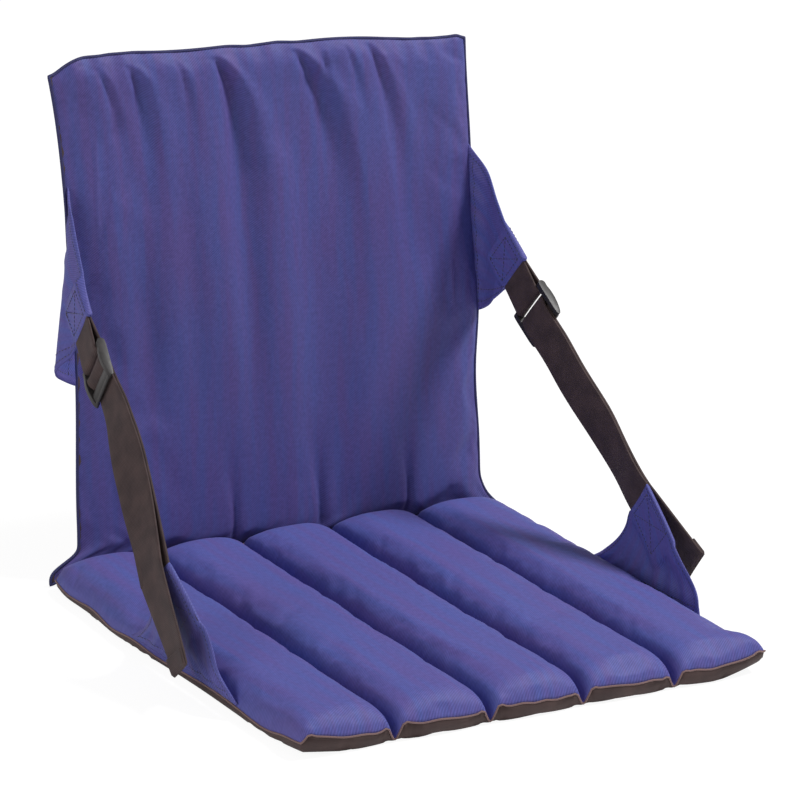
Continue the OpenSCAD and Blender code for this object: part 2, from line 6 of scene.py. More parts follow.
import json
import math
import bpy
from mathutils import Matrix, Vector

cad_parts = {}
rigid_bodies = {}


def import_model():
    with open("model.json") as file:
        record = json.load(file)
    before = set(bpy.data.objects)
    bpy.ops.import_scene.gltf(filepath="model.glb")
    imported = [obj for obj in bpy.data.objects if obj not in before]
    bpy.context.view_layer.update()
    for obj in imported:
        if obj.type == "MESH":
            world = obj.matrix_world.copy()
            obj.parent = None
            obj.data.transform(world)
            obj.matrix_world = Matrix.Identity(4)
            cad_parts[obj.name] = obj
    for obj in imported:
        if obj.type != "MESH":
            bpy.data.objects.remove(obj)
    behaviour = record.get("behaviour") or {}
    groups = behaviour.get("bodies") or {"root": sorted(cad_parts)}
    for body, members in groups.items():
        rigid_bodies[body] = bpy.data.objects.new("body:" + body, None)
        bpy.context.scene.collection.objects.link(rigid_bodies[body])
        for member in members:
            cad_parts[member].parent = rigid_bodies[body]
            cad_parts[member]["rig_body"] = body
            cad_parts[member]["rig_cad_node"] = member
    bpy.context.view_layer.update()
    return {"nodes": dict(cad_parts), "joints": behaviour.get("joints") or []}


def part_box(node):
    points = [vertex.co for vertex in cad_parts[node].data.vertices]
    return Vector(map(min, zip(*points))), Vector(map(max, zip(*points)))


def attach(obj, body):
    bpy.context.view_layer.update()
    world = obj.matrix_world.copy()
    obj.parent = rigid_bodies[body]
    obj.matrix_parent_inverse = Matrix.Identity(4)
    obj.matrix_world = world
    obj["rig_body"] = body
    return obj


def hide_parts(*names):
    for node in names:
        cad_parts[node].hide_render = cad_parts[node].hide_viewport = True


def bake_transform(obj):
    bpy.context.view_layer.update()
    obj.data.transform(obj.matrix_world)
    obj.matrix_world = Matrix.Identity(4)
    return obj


bl_info = {
    "name": "Stadium Seat",
    "version": (1, 0, 0),
    "blender": (4, 5, 0),
    "location": "View3D > Sidebar > Stadium Seat",
    "description": "Builds the soft parts, straps and finishes of a folding stadium seat",
    "category": "Add Mesh",
}

from contextlib import contextmanager

import bpy
import numpy as np
from bpy.props import FloatProperty, FloatVectorProperty, IntProperty, PointerProperty
from mathutils import Matrix, Vector, noise

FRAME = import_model()
JOINTS = {joint["name"]: joint for joint in FRAME["joints"]}
SIDES = {"right": 1, "left": -1}

# Places that the frame gives
SEAT_LOW, SEAT_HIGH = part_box("seat_top_cover")
SEAT_W = SEAT_HIGH.x - SEAT_LOW.x
SEAT_D = SEAT_HIGH.y - SEAT_LOW.y
FOLD = Vector(JOINTS["back_fold"]["pos_m"])
UP_BACK = Vector(JOINTS["back_wing_splay_right"]["axis"]).normalized()
OFF_BACK = Vector((0, -UP_BACK.z, UP_BACK.y))
ACROSS = Vector((1, 0, 0))


# Sizes and colours that a user would change


def length(name, description, default):
    """A property that holds a length, in metres."""
    return FloatProperty(name=name, description=description, default=default, unit="LENGTH")


def paint(name, description, default):
    """A property that holds a colour."""
    return FloatVectorProperty(name=name, description=description, default=default, subtype="COLOR")


class SeatSizes(bpy.types.PropertyGroup):
    channels: IntProperty(name="Channels", description="Sewn channels across the seat", default=5)
    crown: length("Crown", "Height of a channel's crown", 0.0310)
    seam: length("Edge seam", "Height of the seam at the ends of a channel", 0.0135)
    side_seam: length("Side seam", "Height of the seam along both sides", 0.0085)
    pinch: length("Pinch", "Height of the covers at a stitch line", 0.0020)
    end_round: length("End rounding", "Distance over which a channel rounds down to its end", 0.034)
    scallop: length("Scallop", "How far a stitch line draws the end seams in", 0.004)


class BackSizes(bpy.types.PropertyGroup):
    width: length("Width", "Width at the side seams", 0.400)
    height: length("Height", "Height above the fold line", 0.398)
    drop: length("Drop", "Reach below the fold line", 0.0195)
    thick: length("Thickness", "Thickness of the pad", 0.015)
    gap: length("Face gap", "Space between the fold line and the pad", 0.001)
    flare: length("Flare", "How much wider each side is at its lower corner", 0.013)
    flare_height: length("Flare height", "Height over which the back spreads", 0.035)
    droop: length("Droop", "How far the upper left corner sinks", 0.0145)


class StrapSizes(bpy.types.PropertyGroup):
    width: length("Width", "Width of the webbing", 0.038)
    thick: length("Thickness", "Thickness of the webbing", 0.0018)
    ply: length("Ply gap", "Space between two sewn layers", 0.0003)
    forward: length("Forward", "From the fold line to the seat wing's tip", 0.212)
    height: length("Tip height", "Height of the seat wing's tip", 0.085)
    out: length("Tip lean", "How far the seat wing's tip leans out", 0.0063)
    run: length("Run", "Distance between the tips of the wings", 0.235)
    sewn: length("Sewn length", "Strap sewn to the seat wing", 0.055)
    tail: length("Tail", "Loose end of the strap", 0.084)
    hem: length("Tail hem", "Folded end of the tail", 0.015)
    bar_at: length("Anchor bar", "From the back wing's tip to the anchor bar", 0.028)
    pocket: length("Pocket", "Depth of the back wing's pocket", 0.033)
    tip: length("Tip width", "Width of a wing's tip", 0.044)


class Colours(bpy.types.PropertyGroup):
    twill: paint("Twill", "Blue cover cloth", (0.096, 0.098, 0.345))
    backing: paint("Backing", "Coated cloth below and behind", (0.070, 0.042, 0.040))
    webbing: paint("Webbing", "Strap webbing", (0.062, 0.042, 0.042))
    plastic: paint("Plastic", "Moulded buckles and caps", (0.020, 0.018, 0.018))
    thread: paint("Thread", "Sewing thread", (0.030, 0.026, 0.085))


class StageSettings(bpy.types.PropertyGroup):
    azimuth: FloatProperty(name="Azimuth", description="Turn of the camera, in degrees", default=-31.35)
    elevation: FloatProperty(
        name="Elevation", description="Height of the camera, in degrees", default=17.77)
    roll: FloatProperty(name="Roll", description="Tilt of the picture, in degrees", default=2.33)
    distance: length("Distance", "From the camera to its target", 3.5)


GROUPS = {
    "seat_sizes": SeatSizes,
    "back_sizes": BackSizes,
    "strap_sizes": StrapSizes,
    "seat_colours": Colours,
    "seat_stage": StageSettings,
}


# Helpers for meshes


def deselect():
    if bpy.context.object and bpy.context.object.mode != "OBJECT":
        bpy.ops.object.mode_set(mode="OBJECT")
    bpy.ops.object.select_all(action="DESELECT")


def select(*pieces):
    deselect()
    for piece in pieces:
        piece.select_set(True)
    bpy.context.view_layer.objects.active = pieces[0]


def points_of(piece):
    co = np.empty(len(piece.data.vertices) * 3)
    piece.data.vertices.foreach_get("co", co)
    return co.reshape(-1, 3)


def set_points(piece, co):
    piece.data.vertices.foreach_set("co", np.asarray(co, float).ravel())
    piece.data.update()


def modify(piece, kind, **settings):
    """Adds a modifier and applies it."""
    modifier = piece.modifiers.new(kind.lower(), kind)
    for key, value in settings.items():
        setattr(modifier, key, value)
    select(piece)
    bpy.ops.object.modifier_apply(modifier=modifier.name)


@contextmanager
def editing(piece):
    """Edit mode on one piece, with all of its mesh selected."""
    select(piece)
    bpy.ops.object.mode_set(mode="EDIT")
    bpy.ops.mesh.select_all(action="SELECT")
    yield
    bpy.ops.object.mode_set(mode="OBJECT")


def outward(piece):
    with editing(piece):
        bpy.ops.mesh.normals_make_consistent(inside=False)


def merge(piece, distance=1e-5):
    with editing(piece):
        bpy.ops.mesh.remove_doubles(threshold=distance)


def smooth(piece):
    select(piece)
    bpy.ops.object.shade_smooth()


def lerp(a, b, t):
    return a + (b - a) * t


def ease(t):
    t = np.clip(t, 0, 1)
    return t * t * (3 - 2 * t)


def bell(x, centre, width):
    return np.exp(-(((x - centre) / width) ** 2))


def bump_at(x, height, centre, width):
    return height * bell(x, centre, width)


def uneven_wave(x, height, step, sway, long_step):
    """A wave whose length keeps changing: its phase sways over a longer step."""
    return height * np.sin(x / step + sway * np.sin(x / long_step))


def near_corner(across, along, reach, sharpness):
    """Share that falls from 1 at a corner to 0 at reach from it."""
    return np.maximum(0, 1 - np.hypot(across, along) / reach) ** sharpness


def soft_cap(values, most, give=0.001):
    """Bends values that come near most back so that they stay under it."""
    start = most - give
    over = np.maximum(0, values - start)
    return np.where(over > 0, start + give * (1 - np.exp(-over / give)), values)


def cloth_noise(a, b, scale, seed):
    """Smooth unevenness from -1 to 1 at each pair of a and b, the same in every run."""
    return np.array([noise.noise(Vector((x / scale, y / scale, seed))) for x, y in zip(a, b)])


def sheet_grid(name, across, along, place, size, steps=None):
    """A grid whose vertices go where place(a, b) says, with a and b from 0 to 1.

    Its UV map holds real sizes in metres: size is the cloth's width and length.
    """
    deselect()
    bpy.ops.mesh.primitive_grid_add(x_subdivisions=across, y_subdivisions=along, size=1, calc_uvs=True)
    piece = bpy.context.object
    piece.name = piece.data.name = name
    share = points_of(piece)[:, :2] + 0.5
    if steps:
        share = np.stack([steps[0](share[:, 0]), steps[1](share[:, 1])], 1)
    layer = piece.data.uv_layers.active.data
    for loop in piece.data.loops:
        layer[loop.index].uv = share[loop.vertex_index] * size
    set_points(piece, place(share[:, 0], share[:, 1]))
    return piece


def swept(name, lines, size):
    """A strip through rows of points: lines holds one row of points for each step along it."""
    rows = np.array([[list(p) for p in line] for line in lines], float)
    count_b, count_a = rows.shape[0] - 1, rows.shape[1] - 1

    def place(a, b):
        i = np.rint(a * count_a).astype(int)
        j = np.rint(b * count_b).astype(int)
        return rows[j, i]

    return sheet_grid(name, count_a, count_b, place, size)


def even(path, step):
    """Points about step apart along a path of points."""
    path = [Vector(p) for p in path]
    lengths = [0.0]
    for a, b in zip(path, path[1:]):
        lengths.append(lengths[-1] + (b - a).length)
    total = lengths[-1]
    count = max(2, round(total / step))
    found, k = [], 0
    for i in range(count + 1):
        s = total * i / count
        while k < len(path) - 2 and lengths[k + 1] < s:
            k += 1
        span = lengths[k + 1] - lengths[k]
        found.append(path[k].lerp(path[k + 1], (s - lengths[k]) / span if span else 0))
    return found


def arc(x, y, radius, start, end, steps):
    """Points of an arc in the plane, with its angles in degrees."""
    angles = [math.radians(lerp(start, end, k / steps)) for k in range(steps + 1)]
    return [Vector((x + radius * math.cos(t), y + radius * math.sin(t))) for t in angles]


def bow(a, b, c, t):
    """Point t of the curve from a to c that b pulls towards itself."""
    return a * (1 - t) ** 2 + b * (2 * t * (1 - t)) + c * t * t


# Materials


class Nodes:
    """Short ways to add nodes to a tree."""

    def __init__(self, tree):
        self.tree = tree

    def add(self, kind, links=(), **settings):
        """A node with links into its sockets. Settings are its own or, with _ for a space, a socket's."""
        node = self.tree.nodes.new("ShaderNode" + kind)
        for key, value in settings.items():
            if hasattr(node, key):
                setattr(node, key, value)
            else:
                node.inputs[key.replace("_", " ")].default_value = value
        for source, socket in links:
            self.tree.links.new(source, node.inputs[socket])
        return node


class Finish(Nodes):
    """A material with one principled shader."""

    def __init__(self, name, colour, roughness, **sockets):
        self.material = bpy.data.materials.new(name)
        self.material.use_nodes = True
        super().__init__(self.material.node_tree)
        self.shader = self.tree.nodes["Principled BSDF"]
        self.shader.inputs["Base Color"].default_value = (*colour, 1)
        self.shader.inputs["Roughness"].default_value = roughness
        for key, value in sockets.items():
            self.shader.inputs[key.replace("_", " ")].default_value = value

    def link(self, source, socket):
        self.tree.links.new(source, self.shader.inputs[socket])

    def pattern_at(self, source, turn=0.0, stretch=(1, 1, 1)):
        """Coordinates from the object or from its own UV map, turned in degrees and stretched."""
        coordinates = self.add("TexCoord")
        return self.add("Mapping", [(coordinates.outputs[source], "Vector")],
                        Rotation=(0, 0, math.radians(turn)), Scale=stretch).outputs[0]

    def noise(self, vector, scale, detail=2.0):
        return self.add("TexNoise", [(vector, "Vector")], Scale=scale, Detail=detail).outputs["Fac"]

    def waves(self, vector, scale, distortion=0.0, detail=2.0):
        return self.add("TexWave", [(vector, "Vector")], Scale=scale, Distortion=distortion,
                        Detail=detail).outputs["Fac"]

    def shades(self, factor, colour, dark, light, low=0.35, high=0.65):
        """A colour that factor moves between two tints of one colour."""
        ramp = self.add("ValToRGB", [(factor, "Fac")])
        for stop, tone, place in zip(ramp.color_ramp.elements, (dark, light), (low, high)):
            stop.position = place
            stop.color = (*tint(colour, tone), 1)
        return ramp.outputs["Color"]

    def mix(self, factor, a, b, mode="MIX"):
        node = self.tree.nodes.new("ShaderNodeMix")
        node.data_type = "RGBA"
        node.blend_type = mode
        for value, socket in ((factor, 0), (a, 6), (b, 7)):
            if isinstance(value, bpy.types.NodeSocket):
                self.tree.links.new(value, node.inputs[socket])
            else:
                node.inputs[socket].default_value = value
        return node.outputs[2]

    def woven_in(self, tone, share, pattern, dark, light):
        """Darkens and lightens a share of a tone by a pattern."""
        return self.mix(share, tone, self.mix(pattern, (*dark, 1), (*light, 1)), "MULTIPLY")

    def relief(self, *layers):
        """Bumps over one another, each with its height, strength and depth."""
        normal = None
        for height, strength, depth in layers:
            node = self.add("Bump", [(height, "Height")], Strength=strength, Distance=depth)
            if normal is not None:
                self.tree.links.new(normal, node.inputs["Normal"])
            normal = node.outputs["Normal"]
        self.link(normal, "Normal")

    def roughness_by(self, factor, low, high):
        """Lets the roughness run from low to high."""
        self.link(self.add("MapRange", [(factor, "Value")], To_Min=low, To_Max=high).outputs["Result"],
                  "Roughness")


def tint(colour, factor):
    return tuple(min(1.0, c * f) for c, f in zip(colour, factor))


def twill_cloth(name, colour, shade=1.0):
    """Fine twill: diagonal ribs, soft streaks of a bluer and a more violet tone, light fuzz."""
    base = tuple(c * shade for c in colour)
    cloth = Finish(name, base, 0.60, Sheen_Weight=0.08, Sheen_Roughness=0.45, Specular_IOR_Level=0.30)
    cloth.shader.inputs["Sheen Tint"].default_value = (0.60, 0.62, 1.0, 1)
    uv = cloth.pattern_at("UV")
    streaks = cloth.noise(cloth.pattern_at("UV", stretch=(1, 0.09, 1)), 105.0, 3.0)
    blotches = cloth.noise(uv, 260.0, 3.0)
    ribs = cloth.waves(cloth.pattern_at("UV", turn=56), 200.0, 1.0)
    threads = cloth.waves(cloth.pattern_at("UV", turn=90), 420.0, 0.8, 1.0)
    crumple = cloth.noise(uv, 150.0, 3.0)
    tone = cloth.shades(streaks, base, (1.14, 0.91, 0.93), (0.89, 1.06, 1.06), 0.36, 0.64)
    tone = cloth.woven_in(tone, 0.7, blotches, (0.62, 0.62, 0.66), (1.38, 1.38, 1.34))
    tone = cloth.woven_in(tone, 0.40, ribs, (0.52, 0.52, 0.58), (1.40, 1.40, 1.34))
    cloth.link(tone, "Base Color")
    cloth.relief((threads, 0.10, 0.0002), (ribs, 0.35, 0.0003), (crumple, 0.12, 0.0008))
    return cloth.material


def coated_cloth(name, colour):
    """Plain-woven cloth with a dull coating, a little creased and scuffed."""
    cloth = Finish(name, colour, 0.58, Sheen_Weight=0.12, Specular_IOR_Level=0.30)
    uv = cloth.pattern_at("UV")
    scuffs = cloth.noise(uv, 38.0, 5.0)
    warp = cloth.waves(uv, 420.0, 0.6)
    weft = cloth.waves(cloth.pattern_at("UV", turn=90), 420.0, 0.6)
    creases = cloth.noise(uv, 60.0, 4.0)
    cloth.link(cloth.shades(scuffs, colour, (0.78, 0.78, 0.80), (1.22, 1.24, 1.22)), "Base Color")
    cloth.relief((warp, 0.14, 0.0002), (weft, 0.14, 0.0002), (creases, 0.3, 0.0012))
    cloth.roughness_by(scuffs, 0.48, 0.70)
    return cloth.material


def woven_webbing(name, colour):
    """Flat webbing: ribs along its length, crossed by short floats and by the weft."""
    web = Finish(name, colour, 0.72, Sheen_Weight=0.04, Specular_IOR_Level=0.22)
    ribs = web.waves(web.pattern_at("UV"), 190.0, 0.3)
    floats = web.waves(web.pattern_at("UV", turn=66), 240.0, 0.8)
    weft = web.waves(web.pattern_at("UV", turn=90), 260.0, 0.4)
    wear = web.noise(web.pattern_at("UV"), 55.0, 4.0)
    tone = web.shades(wear, colour, (0.80, 0.80, 0.82), (1.25, 1.22, 1.18))
    web.link(web.woven_in(tone, 0.45, weft, (0.55,) * 3, (1.35,) * 3), "Base Color")
    web.relief((ribs, 0.25, 0.0003), (floats, 0.22, 0.0003), (weft, 0.35, 0.0003))
    return web.material


def moulded_plastic(name, colour, roughness=0.46):
    """Black moulded plastic with a fine spark texture and faint handling marks."""
    plastic = Finish(
        name, colour, roughness, Specular_IOR_Level=0.35, Coat_Weight=0.1, Coat_Roughness=0.30)
    place = plastic.pattern_at("Object")
    marks = plastic.noise(place, 210.0, 5.0)
    plastic.relief((plastic.noise(place, 2600.0), 0.12, 0.0002))
    plastic.roughness_by(marks, roughness - 0.10, roughness + 0.16)
    plastic.link(plastic.shades(marks, colour, (0.8,) * 3, (1.5,) * 3), "Base Color")
    return plastic.material


def sewing_thread(name, colour):
    """Twisted thread with a soft shine."""
    thread = Finish(name, colour, 0.5, Sheen_Weight=0.3)
    twist = thread.waves(thread.pattern_at("Object", turn=34.3775), 900.0)
    thread.link(thread.shades(twist, colour, (0.7,) * 3, (1.5,) * 3), "Base Color")
    thread.relief((twist, 0.4, 0.0002))
    return thread.material


def glass_rod(name):
    """Pultruded rod with fine fibres along it."""
    rod = Finish(name, (0.62, 0.58, 0.42), 0.35)
    fibres = rod.noise(rod.pattern_at("Object", stretch=(900, 20, 900)), 1.0, 3.0)
    rod.link(rod.shades(fibres, (1, 1, 1), (0.50, 0.46, 0.32), (0.72, 0.68, 0.52)), "Base Color")
    rod.relief((fibres, 0.2, 0.0002))
    return rod.material


MATERIALS = {}
# The back's cloth is a darker, more violet copy of the seat's twill: painted shade, for the back taking
# less light than the seat. The turned edges are pale
BACK_PAINTED_SHADE = (0.85, 0.79, 0.81)
SEAM_SHADE = 0.36
TURNED_EDGE = (3.2, 3.2, 3.2)
CAP_BLACK = (0.03, 0.03, 0.03)


def make_materials():
    colours = bpy.context.scene.seat_colours
    blue, backing = tuple(colours.twill), tuple(colours.backing)
    MATERIALS.update(
        blue_twill=twill_cloth("blue_twill", blue),
        # The back's copy of the twill, darkened and made more violet as painted shade
        back_twill=twill_cloth("blue_back_twill", tint(blue, BACK_PAINTED_SHADE)),
        seam_edge=twill_cloth("blue_seam_edge", blue, SEAM_SHADE),
        cut_edge=coated_cloth("turned_edge", tint(backing, TURNED_EDGE)),
        coated_backing=coated_cloth("coated_backing", backing),
        webbing=woven_webbing("brown_webbing", tuple(colours.webbing)),
        buckle_plastic=moulded_plastic("buckle_plastic", tuple(colours.plastic)),
        cap_plastic=moulded_plastic("cap_plastic", CAP_BLACK, 0.5),
        thread=sewing_thread("sewing_thread", tuple(colours.thread)),
        stay_rod=glass_rod("glass_fibre_rod"),
    )


def dress(piece, material, body, slot, *nodes):
    """Gives a finished piece its material and body, and hides the nodes that it stands for; its slot is
    not used.
    """
    piece.data.materials.clear()
    piece.data.materials.append(MATERIALS[material])
    if body:
        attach(piece, body)
    if nodes:
        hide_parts(*nodes)
    return piece


# Stitches


# A stitch, the gap to the next one, and half its width
STITCH, STITCH_GAP, STITCH_GIRTH = 0.0026, 0.0010, 0.00042


def stitch_row(path, normals):
    """Middles, directions and normals of the stitches along a path."""
    path = [Vector(p) for p in path]
    found, s, target = [], 0.0, STITCH / 2
    for k, (a, b) in enumerate(zip(path, path[1:])):
        span = (b - a).length
        while target <= s + span and span > 0:
            t = (target - s) / span
            normal = Vector(normals[k]).lerp(Vector(normals[min(k + 1, len(normals) - 1)]), t)
            found.append((a.lerp(b, t), (b - a).normalized(), normal.normalized()))
            target += STITCH + STITCH_GAP
        s += span
    return found


def stitches(name, rows):
    """One mesh of many stitches, each a small flattened bead that sits on the cloth."""
    deselect()
    bpy.ops.mesh.primitive_uv_sphere_add(segments=6, ring_count=4, radius=1)
    bead = bpy.context.object
    shape = points_of(bead) * np.array([STITCH_GIRTH, STITCH_GIRTH * 0.8, STITCH / 2])
    faces = [tuple(p.vertices) for p in bead.data.polygons]
    bpy.data.objects.remove(bead)
    points, polygons = [], []
    for middle, along, normal in [stitch for row in rows for stitch in row]:
        side = along.cross(normal).normalized()
        up = side.cross(along)
        turn = np.array([list(side), list(up), list(along)])
        start = len(points)
        points.extend(shape @ turn + np.array(middle))
        polygons.extend([tuple(start + v for v in face) for face in faces])
    mesh = bpy.data.meshes.new(name)
    mesh.from_pydata([tuple(p) for p in points], [], polygons)
    piece = bpy.data.objects.new(name, mesh)
    bpy.context.scene.collection.objects.link(piece)
    smooth(piece)
    outward(piece)
    return dress(piece, "thread", None, "blue_twill")


# Cloth simulation


FRAMES = 20


def inflate(piece, sewn, pressure, growth, cap):
    """Blows a closed cloth form up between its sewn lines and keeps the result.

    sewn holds each vertex's hold from 0 to 1, growth is the share that the cloth is cut larger,
    and no point may move further than cap.
    """
    rest = points_of(piece)
    group = piece.vertex_groups.new(name="sewn")
    for index, hold in enumerate(sewn):
        if hold > 0:
            group.add([index], float(hold), "REPLACE")
    modifier = piece.modifiers.new("inflate", "CLOTH")
    cloth = modifier.settings
    cloth.quality = 6
    cloth.mass = 0.2
    cloth.tension_stiffness = cloth.compression_stiffness = 20
    cloth.shear_stiffness = 8
    cloth.bending_stiffness = 0.35
    cloth.air_damping = 3
    cloth.vertex_group_mass = group.name
    cloth.use_pressure = True
    cloth.uniform_pressure_force = pressure
    cloth.shrink_min = -growth
    cloth.effector_weights.gravity = 0
    modifier.collision_settings.use_collision = False
    modifier.point_cache.frame_start, modifier.point_cache.frame_end = 1, FRAMES
    for frame in range(1, FRAMES + 1):
        bpy.context.scene.frame_set(frame)
    select(piece)
    bpy.ops.object.modifier_apply(modifier=modifier.name)
    bpy.context.scene.frame_set(1)
    moved = points_of(piece) - rest
    length = np.linalg.norm(moved, axis=1, keepdims=True)
    moved *= np.minimum(1, cap / np.maximum(length, 1e-9))
    set_points(piece, rest + moved)
    piece.vertex_groups.clear()


def closed_pad(name, top, bottom):
    """Joins two layers of cloth along their common edge."""
    for layer, index in ((top, 0), (bottom, 1)):
        layer.data.materials.append(MATERIALS["blue_twill"])
        layer.data.materials.append(MATERIALS["coated_backing"])
        faces = layer.data.polygons
        faces.foreach_set("material_index", [index] * len(faces))
    select(top, bottom)
    bpy.ops.object.join()
    pad = bpy.context.object
    pad.name = pad.data.name = name
    merge(pad)
    outward(pad)
    return pad


def split_pad(pad, upper, lower):
    """Parts a pad into its upper and lower cover, by their cloth."""
    with editing(pad):
        bpy.ops.mesh.separate(type="MATERIAL")
    cloths = {}
    for piece in bpy.context.selected_objects:
        faces = piece.data.polygons
        cloths[piece.data.materials[faces[0].material_index]] = piece
        faces.foreach_set("material_index", [0] * len(faces))
    top, bottom = cloths[MATERIALS["blue_twill"]], cloths[MATERIALS["coated_backing"]]
    top.name = top.data.name = upper
    bottom.name = bottom.data.name = lower
    return top, bottom


# Thickness of the cover cloth
CLOTH = 0.0008


def finish_cover(piece, material, body, slot, *nodes):
    """Gives a cover its thickness and dresses it."""
    modify(piece, "SOLIDIFY", thickness=CLOTH, offset=-1)
    smooth(piece)
    dress(piece, material, body, slot, *nodes)


def seam_cord(name, cover, radius, material, body, slot):
    """The turned edge of a cover's seam: a thin welt along its open border."""
    select(cover)
    bpy.ops.object.duplicate()
    edge = bpy.context.object
    with editing(edge):
        bpy.ops.mesh.select_mode(type="EDGE")
        bpy.ops.mesh.select_all(action="DESELECT")
        bpy.ops.mesh.select_non_manifold()
        bpy.ops.mesh.select_all(action="INVERT")
        bpy.ops.mesh.delete(type="EDGE")
        bpy.ops.mesh.select_all(action="SELECT")
        bpy.ops.mesh.delete(type="ONLY_FACE")
    edge.name = edge.data.name = name
    bpy.ops.object.convert(target="CURVE")
    curve = bpy.context.object
    curve.data.bevel_depth = radius
    curve.data.bevel_resolution = 1
    bpy.ops.object.convert(target="MESH")
    welt = bpy.context.object
    smooth(welt)
    outward(welt)
    return dress(welt, material, body, slot)


# Seat cushion


# How square a channel's section is and how steeply it rises
CHANNEL_SQUARE, CHANNEL_RISE = 3.0, 0.58
# Height that the folded back leaves free over the floor
CUSHION_TOP = 0.0318
# How near a stitch line, and up to which height, the covers are held by it
HELD_WIDTH, HELD_HEIGHT = 0.0018, 0.0055
# Width over which the end seam climbs out of a stitch line, and its slope across a channel
SEAM_CLIMB = 0.0075
SEAM_LEFT, SEAM_SLOPE = 1.06, 0.12
# Waves of the cushion: height, step, sway and longer step
SIDE_HEIGHT_WAVE = (0.0013, 0.017, 1.6, 0.047)
SIDE_WAVE = (0.0010, 0.023, 1.3, 0.061)
END_RIPPLE = (0.0006, 0.0047, 2.2, 0.021)
# The knuckle of cloth beside a pinch: its height, place and width
KNUCKLE = (0.0012, 0.0085, 0.0028)
# Unevenness of the channels: height, size and seed
CHANNEL_NOISE = ((0.0010, 0.055, 3.1), (0.0002, 0.016, 7.7))
LINE_SWAY = (0.0012, 0.11, 5.3)
UNDERSIDE_WALL = 0.007
# Curl of the left and right front corners: height, reach and sharpness
CURLS = ((0.0050, 0.055, 1.2), (0.0095, 0.050, 1.5))
# Bulge of the left side: how far, where from the front edge, and its width
SIDE_BULGE = (0.0070, 0.29, 0.14)
# Share by which the corners are drawn in, and how much of a corner's curl leads outward
CORNER_DRAWN, CURL_OUT = 0.012, 0.4
# How the scallop grows towards a stitch line, and its share at the rear end, where it leads outward
SCALLOP_POWER, REAR_SCALLOP = 2.4, -0.1
# Grid of the seat's covers: lines across each channel and lines along it
SEAT_GRID = (22, 90)
# Radii of the seat's and the back's welts
SEAT_WELT, BACK_WELT = 0.0008, 0.0014


def puff(u, square=2.2, rise=0.55):
    """Height of a stuffed section, from 1 in its middle at u = 0 to 0 at -1 and 1."""
    return (1 - np.minimum(1, np.abs(u)) ** square) ** rise


def fullness(v, reach, square=2.2):
    """Height of a stuffed edge at v from its seam, from 0 to 1 at reach."""
    return np.where(v >= reach, 1.0, puff(1 - np.minimum(v, reach) / reach, square))


def channel_steps(count):
    """Spreads grid lines so that they lie closer together near each stitch line."""

    def spread(a):
        c = np.minimum(np.floor(a * count), count - 1)
        t = a * count - c
        return (c + (1 - np.cos(np.pi * t)) / 2 * 0.7 + t * 0.3) / count

    return spread


def end_steps(share):
    """Spreads grid lines so that they lie closer together near both ends."""

    def spread(b):
        return lerp(b, (1 - np.cos(np.pi * b)) / 2, share)

    return spread


def seat_side_shift(v):
    """How far the seat's left side bulges outward, at v from its front edge."""
    return bump_at(v, *SIDE_BULGE)


def corner_lift(a, v):
    """Heights by which the front corners curl up, the left one and the right one."""
    return [height * near_corner(across * SEAT_W, v, reach, sharpness)
            for across, (height, reach, sharpness) in zip((a, 1 - a), CURLS)]


def seat_layer(name, side):
    """The upper or lower cover of the seat, with its channels, drawn-in ends and rippled seam."""
    s = bpy.context.scene.seat_sizes
    count = s.channels

    def place(a, b):
        c = np.minimum(np.floor(a * count), count - 1)
        u = 2 * (a * count - c) - 1
        on_line = np.isclose(a * count, np.rint(a * count))
        u = np.where(on_line, np.where(np.rint(a * count) == 0, -1, 1), u)
        x = (a - 0.5) * SEAT_W
        v = b * SEAT_D
        end = np.minimum(v, SEAT_D - v)
        near = np.maximum(0, 1 - end / s.end_round)
        outer = ((c == 0) & (u < 0)) | ((c == count - 1) & (u > 0))
        # The seam rises steeply out of each pinch and then falls a little to the right
        inward = (1 - np.abs(u)) * SEAT_W / count / 2
        uneven_side = uneven_wave(v, *SIDE_HEIGHT_WAVE) * (1 - near)
        low = np.where(outer, s.side_seam + uneven_side, s.pinch)
        seam = low + (s.seam * (SEAM_LEFT - SEAM_SLOPE * (u + 1)) - low) * ease(inward / SEAM_CLIMB)
        ripple = uneven_wave(x, *END_RIPPLE) * near**2
        ripple += near**2 * bump_at(inward, *KNUCKLE)
        seam = seam + ripple * np.where(outer | (np.abs(u) < 0.9), 1, 0)
        full = puff(u, CHANNEL_SQUARE, CHANNEL_RISE)
        full = full * fullness(v, s.end_round, CHANNEL_SQUARE)
        full = full * fullness(SEAT_D - v, s.end_round, CHANNEL_SQUARE)
        if side > 0:
            uneven = sum(cloth_noise(x, v, *where) * height for height, *where in CHANNEL_NOISE)
            z = seam + (s.crown - seam) * full + uneven * full
        else:
            reach = np.minimum(end, np.where(outer, inward, 1.0))
            z = seam * (1 - fullness(reach, UNDERSIDE_WALL)) * np.where(outer, 1, 1 - full)
        pull = np.abs(u) ** SCALLOP_POWER
        front = v < SEAT_D / 2
        y = v - SEAT_D / 2 + s.scallop * pull * near**2 * np.where(front, 1, REAR_SCALLOP)
        sway = cloth_noise(v, v * 0 + c, *LINE_SWAY[1:]) * LINE_SWAY[0]
        corner = 1 - CORNER_DRAWN * near**2 * np.abs(2 * x / SEAT_W) ** 8
        x = x * corner + np.where(np.abs(a - 0.5) < 0.499, sway, 0)
        side_wave = uneven_wave(v, *SIDE_WAVE) * (1 - near)
        x = x + side_wave * np.abs(2 * a - 1) ** 12
        left, right = corner_lift(a, v)
        x = x + CURL_OUT * right - np.maximum(0, 1 - a * count) * seat_side_shift(v)
        return np.stack([x, y, z + left + right], 1)

    steps = (channel_steps(count), end_steps(0.6))
    return sheet_grid(name, SEAT_GRID[0] * count, SEAT_GRID[1], place, (SEAT_W, SEAT_D), steps)


